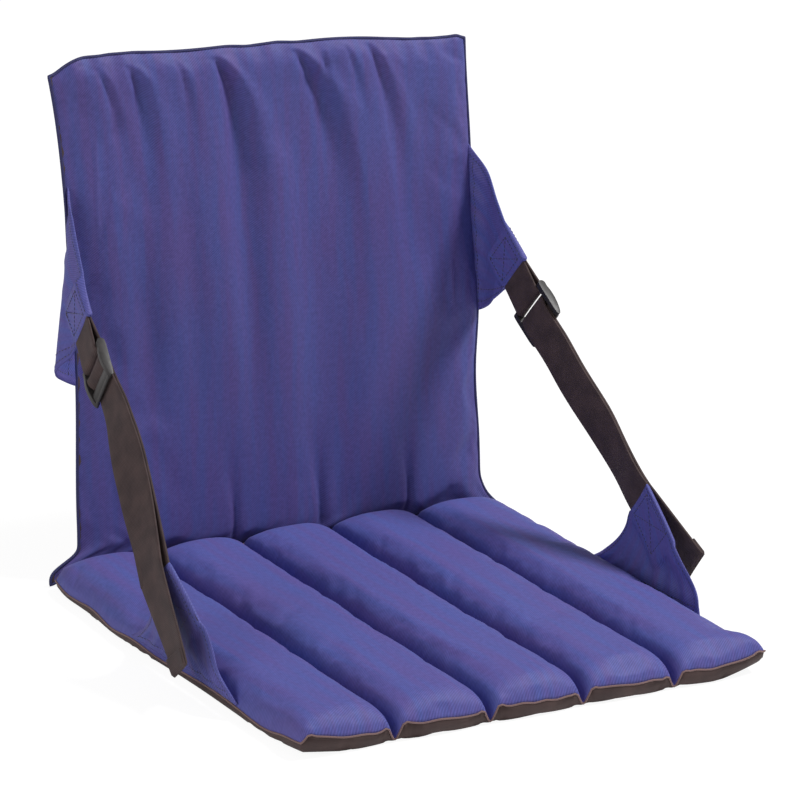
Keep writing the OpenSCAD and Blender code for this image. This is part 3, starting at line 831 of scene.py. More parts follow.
def sewn_lines(pad, count):
    """Hold of each vertex of the seat: full along the seams and stitch lines."""
    co = points_of(pad)
    x = co[:, 0] / SEAT_W + 0.5
    line = np.abs(x * count - np.rint(x * count)) / count * SEAT_W
    return np.where((line < HELD_WIDTH) & (co[:, 2] < HELD_HEIGHT), 1.0, 0.0)


def border_of(pad):
    """Vertices that belong to faces of both cloths."""
    kinds = [set() for _ in pad.data.vertices]
    for face in pad.data.polygons:
        for index in face.vertices:
            kinds[index].add(face.material_index)
    return np.array([len(kind) == 2 for kind in kinds])


class SEAT_OT_cushion(bpy.types.Operator):
    """Builds the quilted cushion: its two covers and the welt between them"""

    bl_idname = "stadium_seat.cushion"
    bl_label = "Seat cushion"

    def execute(self, context):
        s = context.scene.seat_sizes
        pad = closed_pad("seat_pad", seat_layer("upper", 1), seat_layer("lower", -1))
        hold = np.maximum(sewn_lines(pad, s.channels), border_of(pad))
        inflate(pad, hold, pressure=1.2, growth=0.008, cap=0.003)
        co = points_of(pad)
        co[:, 2] = soft_cap(np.maximum(co[:, 2], 0), CUSHION_TOP)
        set_points(pad, co)
        top, under = split_pad(pad, "seat_cushion_cover", "seat_underside_cover")
        seam_cord("seat_welt", top, SEAT_WELT, "cut_edge", "seat", "coated_backing")
        modify(top, "SUBSURF", levels=1, boundary_smooth="PRESERVE_CORNERS")
        finish_cover(top, "blue_twill", "seat", "blue_twill", "seat_top_cover")
        finish_cover(under, "coated_backing", "seat", "coated_backing", "seat_bottom_cover")
        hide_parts(*["seat_foam_%d" % (k + 1) for k in range(s.channels)])
        return {"FINISHED"}


# Back pad


# Place across the top seam, sideways drift, length of that drift, length, width and depth
GATHERS = [
    (-0.158, 0.026, 0.045, 0.110, 0.0055, 0.0024),
    (-0.129, 0.019, 0.030, 0.190, 0.0085, 0.0052),
    (-0.084, 0.014, 0.030, 0.060, 0.0050, 0.0022),
    (-0.048, 0.030, 0.040, 0.250, 0.0085, 0.0068),
    (0.029, 0.055, 0.070, 0.240, 0.0090, 0.0062),
    (0.053, 0.010, 0.030, 0.045, 0.0040, 0.0022),
    (0.077, 0.020, 0.040, 0.060, 0.0045, 0.0020),
    (0.100, 0.034, 0.070, 0.230, 0.0065, 0.0040),
]
# Places across the panel of the seat's stitch lines
STITCH_LINES = (-0.129, -0.043, 0.043, 0.129)
# Puckers at the bottom: their depth, the ridge beside each, where they start and how far they reach
PANEL_PUCKER, PANEL_RIDGE = 0.0042, 0.0010
PUCKER_START, PUCKER_REACH = 0.015, 0.075


def back_relief(x, h, height):
    """Height of the gathers that hang from the top seam, and of the puckers at the bottom."""
    down = np.maximum(0, height - h)
    relief = np.zeros_like(x)
    for start, drift, bend, length, width, depth in GATHERS:
        path = start + drift * (1 - np.exp(-down / bend))
        fade = np.exp(-1.3 * (down / length) ** 2)
        spread = width * (0.45 + 1.5 * np.minimum(1, down / 0.12))
        q = (x - path) / spread
        relief += depth * fade * (-np.exp(-q * q) + 0.40 * np.exp(-(((q - 1.9) / 1.2) ** 2)))
    # Puckers above each of the seat's stitch lines
    up = np.clip((h - PUCKER_START) / PUCKER_REACH, 0, 1)
    for line in STITCH_LINES:
        pucker = PANEL_PUCKER * bell(x, line - 0.006 * up, 0.0035 + 0.011 * up)
        ridge = PANEL_RIDGE * bell(x, line + 0.010 + 0.004 * up, 0.0045 + 0.008 * up)
        relief += (ridge - pucker) * (1 - up) ** 1.3
    return relief


# Place across the panel, width, depth and length of the broad hollows between the folds
HOLLOWS = [
    (-0.138, 0.018, 0.0030, 0.34),
    (-0.088, 0.014, 0.0030, 0.26),
    (-0.034, 0.014, 0.0046, 0.26),
    (0.036, 0.036, 0.0056, 0.40),
    (0.148, 0.020, 0.0016, 0.30),
]
# Sideways drift of the hollows down the panel, the ends over which they fade in, and the noise added:
# its height, size and seed
HOLLOW_DRIFT = 0.035
HOLLOW_TOP, HOLLOW_FOOT = 0.07, 0.09
HOLLOW_NOISE = (0.0010, 0.045, 2.4)


def back_waves(x, h, height):
    """Broad hollows of the front cover down the panel."""
    down = np.maximum(0, height - h)
    inside = ease(down / HOLLOW_TOP) * ease(h / HOLLOW_FOOT + 0.3)
    waves = cloth_noise(x, h * 0.3, *HOLLOW_NOISE[1:]) * HOLLOW_NOISE[0]
    for centre, width, depth, length in HOLLOWS:
        drift = HOLLOW_DRIFT * (down - 0.1)
        waves -= depth * bell(x, centre + drift, width) * np.exp(-(down / length) ** 4)
    return waves * inside


# Waves of the back: height, step, sway and longer step
REAR_TUCKS = (0.0011, 0.0085, 2.0, 0.037)
SEAM_WAVE = (0.0011, 0.0052, 2.5, 0.024)
TOP_WAVE = (0.0006, 0.0105, 1.2, 0.03)
# Creases of the rear cover: height, how much they run up it, size and seed
REAR_CREASES = ((0.0022, 0.5, 0.06, 9.2), (0.0007, 1.0, 0.021, 4.6))
# The left and right lower corners, drawn out to ears: reach and sharpness
EARS = ((0.034, 1.3), (0.026, 1.2))
# Widths of the rounded left side, right side and ends of the pad
LEFT_ROUND, RIGHT_ROUND, END_ROUND = 0.024, 0.020, 0.026
# How far in the left side lies and how far out its upper end, the right side's bulge (how far, its
# height and width) and how far out its foot lies
LEFT_INSET, LEFT_OUT = 0.0145, 0.001
RIGHT_BULGE = (0.0085, 0.165, 0.060)
RIGHT_FOOT = 0.003
# The top edge: how much higher its left end lies, its swell and its dip (height, place and width), and
# the drop of its right corner
TOP_SLOPE, CORNER_DROP = 0.0120, 0.0035
TOP_SWELL, TOP_DIP = (0.0018, 0.62, 0.17), (0.0030, 0.90, 0.07)
# Sway of the sides, and how far the ears reach out and the left one down
SIDE_SWAY = 0.0018
LEFT_EAR, RIGHT_EAR, EAR_DROP = 0.002, 0.009, 0.0095
# Grid of the back's covers: lines across and lines up it
BACK_GRID = (96, 100)
# How far the panel is sunk under its forms
SUNK = 0.0012
# Folded, the cloth has to clear the seat: how far off the fold line's plane it may stand, and how much
# further at the top, which lies on the seat's rounded front end
ROOM_LOW, ROOM_TOP = -0.0002, 0.004


def side_shift(a, h, height):
    """How far the back's cloth lies to the right of its flat place: its sides are not straight."""
    down = np.clip((height - h) / 0.12, 0, 1)
    left = (LEFT_INSET * (1 - (1 - down) ** 1.5) - LEFT_OUT) * ease((h + 0.016) / 0.015)
    foot = RIGHT_FOOT * ease((0.12 - h) / 0.08) * ease((h + 0.012) / 0.02)
    right = bump_at(h, *RIGHT_BULGE) + foot
    return left * (1 - a) ** 1.5 + right * a**1.5


# The left stay lies further in than in the CAD, because the cloth's left side does. The covers stay
# outside a rod of this radius.
STAY_SHIFT = 0.0175
STAY_ROOM = 0.0060


def stay_place():
    """The back's right stay from the fold line: its place across, its depth and its ends' heights."""
    points = points_of(FRAME["nodes"]["back_stay_right"]) - np.array(FOLD)
    up = points @ np.array(UP_BACK)
    middle = points.mean(0)
    return middle[0], middle @ np.array(OFF_BACK), up.min(), up.max()


def ear_shares(a, b, width, length):
    """Share, from 1 at a lower corner to 0, by which the cloth there is drawn out to an ear."""
    return [near_corner(across * width, b * length, *ear) for across, ear in zip((a, 1 - a), EARS)]


def back_layer(name, side):
    """The front or rear cover of the back, gathered at the top seam and spread at the lower corners."""
    s = bpy.context.scene.back_sizes
    length = s.height + s.drop
    middle = -s.gap - s.thick / 2

    def place(a, b):
        h = b * length - s.drop
        k = np.maximum(0, 1 - (h + s.drop) / s.flare_height)
        x = (a - 0.5) * s.width
        roll = np.sin(np.pi / 2 * np.minimum(1, a * s.width / LEFT_ROUND))
        across = roll * fullness(s.width - a * s.width, RIGHT_ROUND)
        upward = fullness(b * length, END_ROUND) * fullness(length - b * length, END_ROUND)
        full = across * upward
        n = middle + side * s.thick / 2 * full
        if side > 0:
            n = n + (back_waves(x, h, s.height) - SUNK) * full**0.6
        else:
            down = np.maximum(0, s.height - h)
            tucks = uneven_wave(x, *REAR_TUCKS) * bell(down, 0.022, 0.030)
            creases = sum(cloth_noise(x, h * run, *where) * high for high, run, *where in REAR_CREASES)
            n = n - (creases + tucks) * full
        edge = 1 - np.clip((length - b * length) / 0.02, 0, 1)
        n = n + edge * uneven_wave(x, *SEAM_WAVE)
        spread = np.where(a < 0.5, ease((k - 0.38) / 0.45), k * k)
        wide = x * (1 + s.flare / (s.width / 2) * spread) + side_shift(a, h, s.height)
        top = ease((h - s.height + 0.12) / 0.12)
        rise = TOP_SLOPE * (1 - a) + bump_at(a, *TOP_SWELL) - s.droop * bell(a, 0, 0.05)
        rise = rise - bump_at(a, *TOP_DIP) - CORNER_DROP * ease((a - 0.975) / 0.025)
        sag = -rise * top - uneven_wave(x, *TOP_WAVE) * top
        sway = SIDE_SWAY * np.sin(h / 0.041 + 1.1) * np.abs(2 * a - 1) ** 6 * np.sign(a - 0.5)
        left, right = ear_shares(a, b, s.width, length)
        wide = wide + sway - LEFT_EAR * left + RIGHT_EAR * right
        at = np.stack([wide, h - sag - EAR_DROP * left, n], 1)
        frame = np.array([list(ACROSS), list(UP_BACK), list(OFF_BACK)])
        return at @ frame + np.array(FOLD)

    return sheet_grid(name, *BACK_GRID, place, (s.width, length), (end_steps(0.45), end_steps(0.5)))


class SEAT_OT_back(bpy.types.Operator):
    """Builds the padded back: its two covers and the welt between them"""

    bl_idname = "stadium_seat.back"
    bl_label = "Back pad"

    def execute(self, context):
        s = context.scene.back_sizes
        pad = closed_pad("back_pad", back_layer("front", 1), back_layer("rear", -1))
        inflate(pad, border_of(pad).astype(float), pressure=0.25, growth=0.006, cap=0.002)
        front, rear = split_pad(pad, "back_front_cloth", "back_rear_cloth")
        modify(front, "SUBSURF", levels=1, boundary_smooth="PRESERVE_CORNERS")
        self.gather(front, s)
        self.clear_of_stays(front, 1)
        self.clear_of_stays(rear, -1)
        seam_cord("back_welt", front, BACK_WELT, "seam_edge", "back", "blue_twill")
        # The front cover wears the copy of the twill that carries painted shade
        finish_cover(front, "back_twill", "back", "blue_twill", "back_front_cover", "back_foam")
        finish_cover(rear, "coated_backing", "back", "coated_backing", "back_rear_cover")
        return {"FINISHED"}

    def clear_of_stays(self, cover, face):
        """Keeps the front (1) or rear (-1) cover outside the stays in the back's sides."""
        co = points_of(cover)
        local = co - np.array(FOLD)
        n = local @ np.array(OFF_BACK)
        place, depth, low, high = stay_place()
        h = local @ np.array(UP_BACK)
        beside = ease((np.minimum(h - low, high - h) + 0.005) / 0.004)
        moved = n
        for middle in (place, STAY_SHIFT - place):
            over = np.sqrt(np.maximum(0, STAY_ROOM**2 - (local[:, 0] - middle) ** 2))
            wall = np.where(over * beside > 0, lerp(moved, depth + face * over, beside), moved)
            moved = np.maximum(moved, wall) if face > 0 else np.minimum(moved, wall)
        co += np.outer(moved - n, np.array(OFF_BACK))
        set_points(cover, co)

    def gather(self, front, s):
        """Presses the gathers and puckers into the front cover, less near its seams."""
        co = points_of(front)
        local = co - np.array(FOLD)
        x, h = local[:, 0], local @ np.array(UP_BACK)
        inside = np.minimum(s.width / 2 - np.abs(x), np.minimum(s.height - h, h + s.drop))
        held = np.clip((inside + 0.001) / 0.012, 0, 1) ** 0.7
        n = local @ np.array(OFF_BACK)
        most = ROOM_LOW + ROOM_TOP * ease((h - 0.33) / 0.05)
        change = soft_cap(n + back_relief(x, h, s.height) * held, most) - n
        co += np.outer(change, np.array(OFF_BACK))
        set_points(front, co)


# Places along the straps and wings, on the right side


class StrapPlace:
    """Directions and levels of the right strap. x runs down it from the seat wing's tip."""

    def __init__(self, sizes):
        self.sizes = sizes
        self.seat_hinge = Vector(JOINTS["seat_wing_splay_right"]["pos_m"])
        self.back_hinge = Vector(JOINTS["back_wing_splay_right"]["pos_m"])
        self.back_hinge -= UP_BACK * (self.back_hinge - FOLD).dot(UP_BACK)
        self.tip = Vector((self.seat_hinge.x + sizes.out, FOLD.y - sizes.forward, sizes.height))
        reach = self.tip - self.back_hinge
        splay = math.atan2(reach.x, reach.dot(OFF_BACK))
        tilt = math.atan2(sizes.out, sizes.height - self.seat_hinge.z)
        self.forward = ACROSS * math.sin(splay) + OFF_BACK * math.cos(splay)
        self.out = UP_BACK.cross(self.forward)
        self.wing_out = Vector((math.cos(tilt), 0, -math.sin(tilt)))
        self.wing_up = Vector((math.sin(tilt), 0, math.cos(tilt)))
        self.across = self.out.cross(self.wing_out).normalized()
        self.down = self.across.cross(self.out)
        self.bend = math.acos(self.out.dot(self.wing_out))
        self.knee = (Vector(JOINTS["strap_fold_right"]["pos_m"]) - self.tip).dot(self.down)

    def at(self, x, y, n):
        return self.tip + self.down * x + self.across * y + self.out * n

    def on_seat_wing(self, x, up, n):
        """x runs rearward from the fold line and up runs up the wing."""
        base = Vector((self.seat_hinge.x, FOLD.y, self.seat_hinge.z))
        return base + Vector((0, 1, 0)) * x + self.wing_up * up + self.wing_out * n

    def on_back_wing(self, up, forward, n):
        return self.back_hinge + UP_BACK * up + self.forward * forward + self.out * n


def mirrored(points, side):
    """Points of the right side, or of the left one where side is -1."""
    return np.array([list(p) for p in points]) * np.array([side, 1, 1])


# Buckle sizes along the strap, the middle bar's thickness, and the tail's rise off its ply there
ANCHOR_BAR = 0.0045
SLOT_A = 0.0065
MID_BAR = 0.006
MID_THICK = 0.0035
SLOT_B = 0.0055
GRIP = 0.012
TAIL_RISE = 0.0006

# How much shorter than in the CAD a tail hangs, the half length of the stretch round a strap's knee,
# how far the loop ends before the pocket does, and half the width of a boxed cross
TAIL_SHORTER = {1: 0.012, -1: 0.004}
KNEE_REACH = 0.011
POCKET_END = 0.004
BOX_HALF = 0.0155


def strap_levels(place):
    """Named places and heights of the plies near the buckle."""
    s = place.sizes
    bar = -s.run + s.bar_at
    mid_0 = bar + ANCHOR_BAR / 2 + SLOT_A
    mid_1 = mid_0 + MID_BAR
    grip_0 = mid_1 + SLOT_B
    grip_1 = grip_0 + GRIP
    mid_ply = MID_THICK / 2 + s.ply + s.thick / 2
    pitch = s.thick + s.ply
    tail = -mid_ply + TAIL_RISE
    load = tail - pitch
    wing = CLOTH + s.ply + s.thick / 2
    return dict(bar=bar, mid_0=mid_0, mid_1=mid_1, grip_0=grip_0, grip_1=grip_1, mid_ply=mid_ply,
                pitch=pitch, tail=tail, load=load, wing=wing, slope=(wing - load) / -grip_1)


def load_height(place, x):
    """Level of the strap's loaded length at x."""
    level = strap_levels(place)
    if x > 0:
        return level["wing"] - x * math.tan(place.bend)
    return level["wing"] + level["slope"] * x


# Bows of the straps: how far they stand out, where along the strap, and over which length
RIGHT_BOWS = ((0.0018, -0.075, 0.032), (0.0014, -0.155, 0.022), (-0.0020, -0.008, 0.024))
LEFT_BOW = (-0.0014, -0.155, 0.018)
# The left strap's lean: how far out it ends, where it starts and how late it comes
LEFT_LEAN = (0.0090, -0.13, 1.3)
# Twists, in degrees: the right one comes and goes, the left one comes and stays
RIGHT_TWIST = (11, -0.028, 0.036)
LEFT_TWIST = (20, -0.19, 0.09)
# How fast each tail spreads from its strap and loses its twist, its twist and its gap at the tip
TAIL_LOOSE = {1: (0.19, 0), -1: (0.030, 190)}
TAIL_TWIST, TAIL_GAP = 9, 0.0008


def strap_bow(x, side):
    """How far a strap stands out of its straight run at x, and how far it is twisted, in degrees."""
    if side > 0:
        return float(sum(bump_at(x, *each) for each in RIGHT_BOWS)), float(bump_at(x, *RIGHT_TWIST))
    most, start, power = LEFT_LEAN
    out = most * max(0.0, (start - x) / start) ** power + bump_at(x, *LEFT_BOW)
    twist, start, reach = LEFT_TWIST
    return float(out), float(twist * ease((x - start) / reach))


def wing_lean(place, point, side):
    """How far the seat wing leans out at a point of its flat shape, so that its tip meets the strap."""
    base = place.on_seat_wing(0, 0, 0)
    share = max(0.0, (point - base).dot(place.wing_up) / (place.tip - base).dot(place.wing_up)) ** 1.6
    out, twist = strap_bow(0, side)
    return share * (out + (point - place.tip).dot(place.across) * math.sin(math.radians(twist)))


def strap_shape(place, side):
    """Gives how far the webbing lies out of its straight run at x and y, for the strap and its tail."""
    spread, untwist = TAIL_LOOSE[side]

    def out_at(x, y, tail):
        if x > 0 and not tail:
            return wing_lean(place, place.at(x, y, load_height(place, x)), side)
        out, twist = strap_bow(min(x, 0), side)
        if tail:
            loose = TAIL_TWIST - untwist * max(0, x)
            twist = lerp(twist, loose, float(ease((x + 0.08) / 0.08)))
            out += max(0, x) * (spread + math.tan(place.bend)) + TAIL_GAP * float(ease((x + 0.03) / 0.04))
        return out + y * math.sin(math.radians(twist))

    return out_at


# The left tail's skewed end: where it starts, over which length it comes, how far it reaches down and
# how steeply across the webbing
SKEW_START, SKEW_LENGTH = 0.010, 0.060
SKEW, SKEW_SLOPE = 0.0055, 0.29
# Webbing: the step along it, how far its edges stand up and the bevel of its edges
STRIP_STEP, STRIP_CUP, STRIP_EDGE = 0.0028, 0.0004, 0.0005
# How far the loop's plies draw together before they turn round the anchor bar
LOOP_DRAWN = 0.0004


def tail_skew(x, y):
    """How much further down the loose left tail reaches at x and y, since its end hangs askew."""
    return float(ease((x - SKEW_START) / SKEW_LENGTH)) * (SKEW - SKEW_SLOPE * y)


def webbing_strip(name, place, path, side, shape=None):
    """A strip of webbing along a path of (x, n) points. shape(x, y, tail) bends it out of its plane."""
    s, ribs = place.sizes, 8
    line = even([Vector((p[0], p[1], 0)) for p in path], STRIP_STEP)
    turn_back = min(range(len(line)), key=lambda k: line[k].x)
    rows = []
    for k, p in enumerate(line):
        row = []
        for i in range(ribs + 1):
            y = (i / ribs - 0.5) * s.width
            cup = STRIP_CUP * (2 * i / ribs - 1) ** 2
            loose = bool(shape) and k > turn_back
            out = shape(p.x, y, loose) if shape else 0
            skew = tail_skew(p.x, y) if loose and side < 0 else 0
            row.append(place.at(p.x + skew, y, p.y + cup + out))
        rows.append(row)
    length = sum((b - a).length for a, b in zip(line, line[1:]))
    strip = swept(name, [mirrored(row, side) for row in rows], (s.width, length))
    modify(strip, "SOLIDIFY", thickness=s.thick, offset=0)
    modify(strip, "BEVEL", width=STRIP_EDGE, segments=2, limit_method="ANGLE",
           angle_limit=math.radians(50))
    smooth(strip)
    outward(strip)
    return strip


class SEAT_OT_straps(bpy.types.Operator):
    """Builds the webbing of both sides: the strap with its tail, and the buckle's loop"""

    bl_idname = "stadium_seat.straps"
    bl_label = "Webbing straps"

    def execute(self, context):
        place = StrapPlace(context.scene.strap_sizes)
        s, level = place.sizes, strap_levels(place)
        mid_r = MID_THICK / 2
        for word, side in SIDES.items():
            load = [s.sewn, 0.03, 0.0] + [-0.01 * k for k in range(1, 17)]
            path = [(x, load_height(place, x)) for x in load]
            path += [(level["grip_1"], level["load"]), (level["mid_1"] + 0.003, level["load"])]
            path += arc(level["mid_0"] + mid_r, 0, level["mid_ply"], 270, 90, 10)
            path += arc(level["mid_1"] - mid_r, 0, level["mid_ply"], 70, 20, 4)
            path += [(level["grip_0"] + 0.001, level["tail"]), (level["grip_1"], level["tail"])]
            tail = s.tail - TAIL_SHORTER[side]
            step = level["pitch"]
            hang = [-0.16 + 0.01 * k for k in range(16)]
            hang += [lerp(0, tail - s.hem, k / 6) for k in range(7)]
            path += [(x, load_height(place, x) + step) for x in hang]
            hem = load_height(place, tail) + step
            path += [(tail, hem), (tail + step / 2, hem + step / 2), (tail, hem + step)]
            path.append((tail - s.hem, load_height(place, tail - s.hem) + 2 * step))
            strap = webbing_strip("strap_" + word, place, path, side, strap_shape(place, side))
            dress(strap, "webbing", None, "webbing",
                  *["strap_%s_%s" % (part, word) for part in ("lower", "upper", "tail")])
            knee = [place.at(place.knee + reach, 0, 0) for reach in (KNEE_REACH, -KNEE_REACH)]
            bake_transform(strap)
            ply = ANCHOR_BAR / 2 + s.ply + s.thick / 2
            deep = -s.run - s.pocket + POCKET_END
            loop = [(deep, level["pitch"] / 2), (-s.run, level["pitch"] / 2),
                    (level["bar"] - ANCHOR_BAR, ply - LOOP_DRAWN)]
            loop += arc(level["bar"], 0, ply, 90, -90, 12)
            loop += [(level["bar"] - ANCHOR_BAR, LOOP_DRAWN - ply), (-s.run, -level["pitch"] / 2),
                     (deep, -level["pitch"] / 2)]
            web = webbing_strip("buckle_loop_webbing_" + word, place, loop, side)
            dress(web, "webbing", "back_wing_%s_body" % word, "webbing", "buckle_loop_%s" % word)
        return {"FINISHED"}


# Wings


# How far inside the side seams the bases of the seat's and the back's wings start, the ply of cloth
# round the webbing in a wing, and how far stitches stand proud
SEAT_TUCK, BACK_TUCK = 0.0016, 0.0030
WING_PLY = 0.0010
PROUD = 0.0001
# Ends of the seat wings' bases, from the fold line, and how high they lie over the hinge
SEAT_BASE = (-0.150, -0.318)
BASE_RISE = 0.0006
# Lower ends of the back wings' bases on each side, and their upper end
BACK_BASE_LOW, BACK_BASE_HIGH = {1: 0.155, -1: 0.136}, 0.304
# How much narrower than in the CAD half a seat wing's tip is, and the left one's front half
TIP_NARROWER, LEFT_NARROWER = 0.0014, 0.0012
# Flat sizes that the wings are cut from
SEAT_WING_CUT, BACK_WING_CUT = (0.168, 0.090), (0.162, 0.088)
# Heights of the seat wing's forms, and of the back wing's on each side
BELLY, HOLLOW, PUCKER, CREASE, SWELL = 0.0050, 0.0030, 0.0016, 0.0022, 0.0055
SLACK = {1: 0.006, -1: 0.014}
BACK_PUCKER = 0.0012
# How far the back wing's upper edge bows: on the right in two places, on the left over its whole length
RIGHT_EDGE_BOWS = ((0.0060, 0.25, 0.18), (-0.0025, 0.72, 0.14))
LEFT_EDGE_BOW = -0.0065
# Where each free edge's curve is drawn to: how far past its tip or its base, and the share of its height
SEAT_CURVES = ((-0.002, 0.55), (0.039, 0.55))
BACK_CURVES = ((-0.018, 0.48), (0.046, 0.47))
# Heights over a base of the stretch where a wing meets its pad
SEAT_BLEND = (0.001, 0.016)
BACK_BLEND = {1: (0.001, 0.034), -1: (0.001, 0.022)}
# Ends of the boxed cross on a seat wing, how far the back wing's ends before the pocket does, and how
# far the pocket reaches past the webbing
SEAT_BOX = (0.006, 0.046)
BACK_BOX_END = 0.005
POCKET_ROOM, POCKET_EDGE = 0.002, 0.0012


class Wing:
    """A wing of two layers of cloth between its two free edges, sewn shut round them.

    edges(s) gives the ends of the line across the wing at s, from its base at 0 to its tip at 1.
    lift(s, t) gives how far the cloth bulges outward, and lean(point) how far it leans. pocket is the
    webbing between the layers: its range along the strap, half its width, half the thickness of the
    wing over it and how far outward it lies.
    """

    def __init__(self, place, side, edges, lift, pocket, lean=None):
        self.place, self.side, self.edges, self.lift, self.pocket = place, side, edges, lift, pocket
        self.lean = lean or (lambda point: 0)

    def holds(self, point):
        """Share from 0 to 1 by which the wing holds webbing at a point."""
        x0, x1, half = self.pocket[:3]
        away = point - self.place.tip
        along, across = away.dot(self.place.down), abs(away.dot(self.place.across))
        inside = min(along - x0, x1 - along, half - across)
        return float(ease((inside + 0.004) / 0.005))

    def at(self, s, t, layer):
        """Point of the wing's outer (1), inner (-1) or middle (0) surface, and its direction out."""
        low, high, out = self.edges(s)
        flat = low.lerp(high, t)
        held = self.holds(flat)
        half = lerp(CLOTH + 0.0005 * float(bell(min(t, 1 - t), 0.03, 0.025)), self.pocket[3], held)
        if min(t, 1 - t) < 1e-6 or s > 1 - 1e-6:
            half *= 0.4
        rise = self.lift(s, t) * (1 - held) + self.pocket[4] * held + self.lean(flat)
        point = flat + out * (rise + layer * half)
        return point, out

    def mesh(self, name, size):
        count_s, count_t = 48, 36

        def sheet(label, layer):
            def put(a, b):
                return mirrored([self.at(s, t, layer)[0] for t, s in zip(a, b)], self.side)

            return sheet_grid(label, count_t, count_s, put, size, (end_steps(0.25), end_steps(0.25)))

        select(sheet(name + "_a", 1), sheet(name + "_b", -1))
        bpy.ops.object.join()
        wing = bpy.context.object
        wing.name = wing.data.name = name
        with editing(wing):
            bpy.ops.mesh.select_all(action="DESELECT")
            bpy.ops.mesh.select_non_manifold()
            bpy.ops.mesh.bridge_edge_loops()
        merge(wing, 1e-6)
        outward(wing)
        smooth(wing)
        return wing

    def row(self, path, layer):
        """Stitches on one face along a path of (s, t) places."""
        points, normals = [], []
        for s, t in path:
            point, out = self.at(s, t, layer)
            points.append(point + out * layer * PROUD)
            normals.append(out * layer)
        return stitch_row([Vector(p) for p in mirrored(points, self.side)],
                          [Vector(n) for n in mirrored(normals, self.side)])

    def hems(self, shares):
        rows = []
        for t in shares:
            path = [(lerp(0.04, 0.975, k / 60), t) for k in range(61)]
            rows += [self.row(path, layer) for layer in (1, -1)]
        base = [(0.075, lerp(0.05, 0.95, k / 60)) for k in range(61)]
        return rows + [self.row(base, layer) for layer in (1, -1)]


def seat_wing_edges(place, side):
    """Edges of a seat wing, whose base follows the seat's side seam."""
    s = place.sizes
    reach = place.tip - place.on_seat_wing(0, 0, 0)
    centre = Vector((-s.forward, reach.dot(place.wing_up)))
    across = Vector((place.across.y, place.across.dot(place.wing_up)))
    half = s.tip / 2 - TIP_NARROWER
    front_half = half if side > 0 else half - LEFT_NARROWER
    rear_tip, front_tip = centre + across * half, centre - across * front_half
    rear, front = [Vector((end, BASE_RISE)) for end in SEAT_BASE]

    def edges(t):
        (low_past, low_share), (high_past, high_share) = SEAT_CURVES
        low = bow(rear, Vector((rear_tip.x + low_past, rear_tip.y * low_share)), rear_tip, t)
        high = bow(front, Vector((front.x + high_past, front_tip.y * high_share)), front_tip, t)
        ends = []
        for point in (low, high):
            shift = float(seat_side_shift(FOLD.y + point.x - SEAT_LOW.y)) if side < 0 else 0
            inward = ACROSS * (shift - SEAT_TUCK) * (1 - t) ** 5
            ends.append(place.on_seat_wing(point.x, point.y, 0) + inward)
        return ends[0], ends[1], place.wing_out

    return edges


def back_wing_edges(place, side):
    """Edges of a back wing, whose base follows the back's uneven side."""
    s = place.sizes
    height = bpy.context.scene.back_sizes.height
    reach = place.at(-s.run, 0, 0) - place.back_hinge
    centre = Vector((reach.dot(UP_BACK), reach.dot(place.forward)))
    across = Vector((place.across.dot(UP_BACK), place.across.dot(place.forward)))
    low_tip, high_tip = centre + across * s.tip / 2, centre - across * s.tip / 2
    bottom, top = Vector((BACK_BASE_LOW[side], 0)), Vector((BACK_BASE_HIGH, 0))

    def edges(t):
        (low_past, low_share), (high_past, high_share) = BACK_CURVES
        low = bow(bottom, Vector((low_tip.x + low_past, low_tip.y * low_share)), low_tip, t)
        high = bow(top, Vector((high_tip.x + high_past, high_tip.y * high_share)), high_tip, t)
        ends = []
        for point in (low, high):
            shift = side * float(side_shift(0.5 + side / 2, point.x, height))
            inward = ACROSS * (shift - BACK_TUCK) * (1 - t) ** 4
            ends.append(place.on_back_wing(point.x, point.y, 0) + inward)
        return ends[0], ends[1], place.out

    return edges


def cross_box(place, x0, x1, height, side, face):
    """Box and cross of stitches that hold webbing. height(x, y) is the cloth's, in the strap's frame."""
    half = BOX_HALF
    corners = [(x0, -half), (x1, -half), (x1, half), (x0, half), (x0, -half)]
    lines = list(zip(corners, corners[1:])) + [(corners[0], corners[2]), (corners[1], corners[3])]
    rows, count = [], 10
    normal = place.out * face
    for a, b in lines:
        spots = [(lerp(a[0], b[0], k / count), lerp(a[1], b[1], k / count)) for k in range(count + 1)]
        points = mirrored([place.at(x, y, height(x, y)) for x, y in spots], side)
        rows.append(stitch_row(points, mirrored([normal] * (count + 1), side)))
    return rows


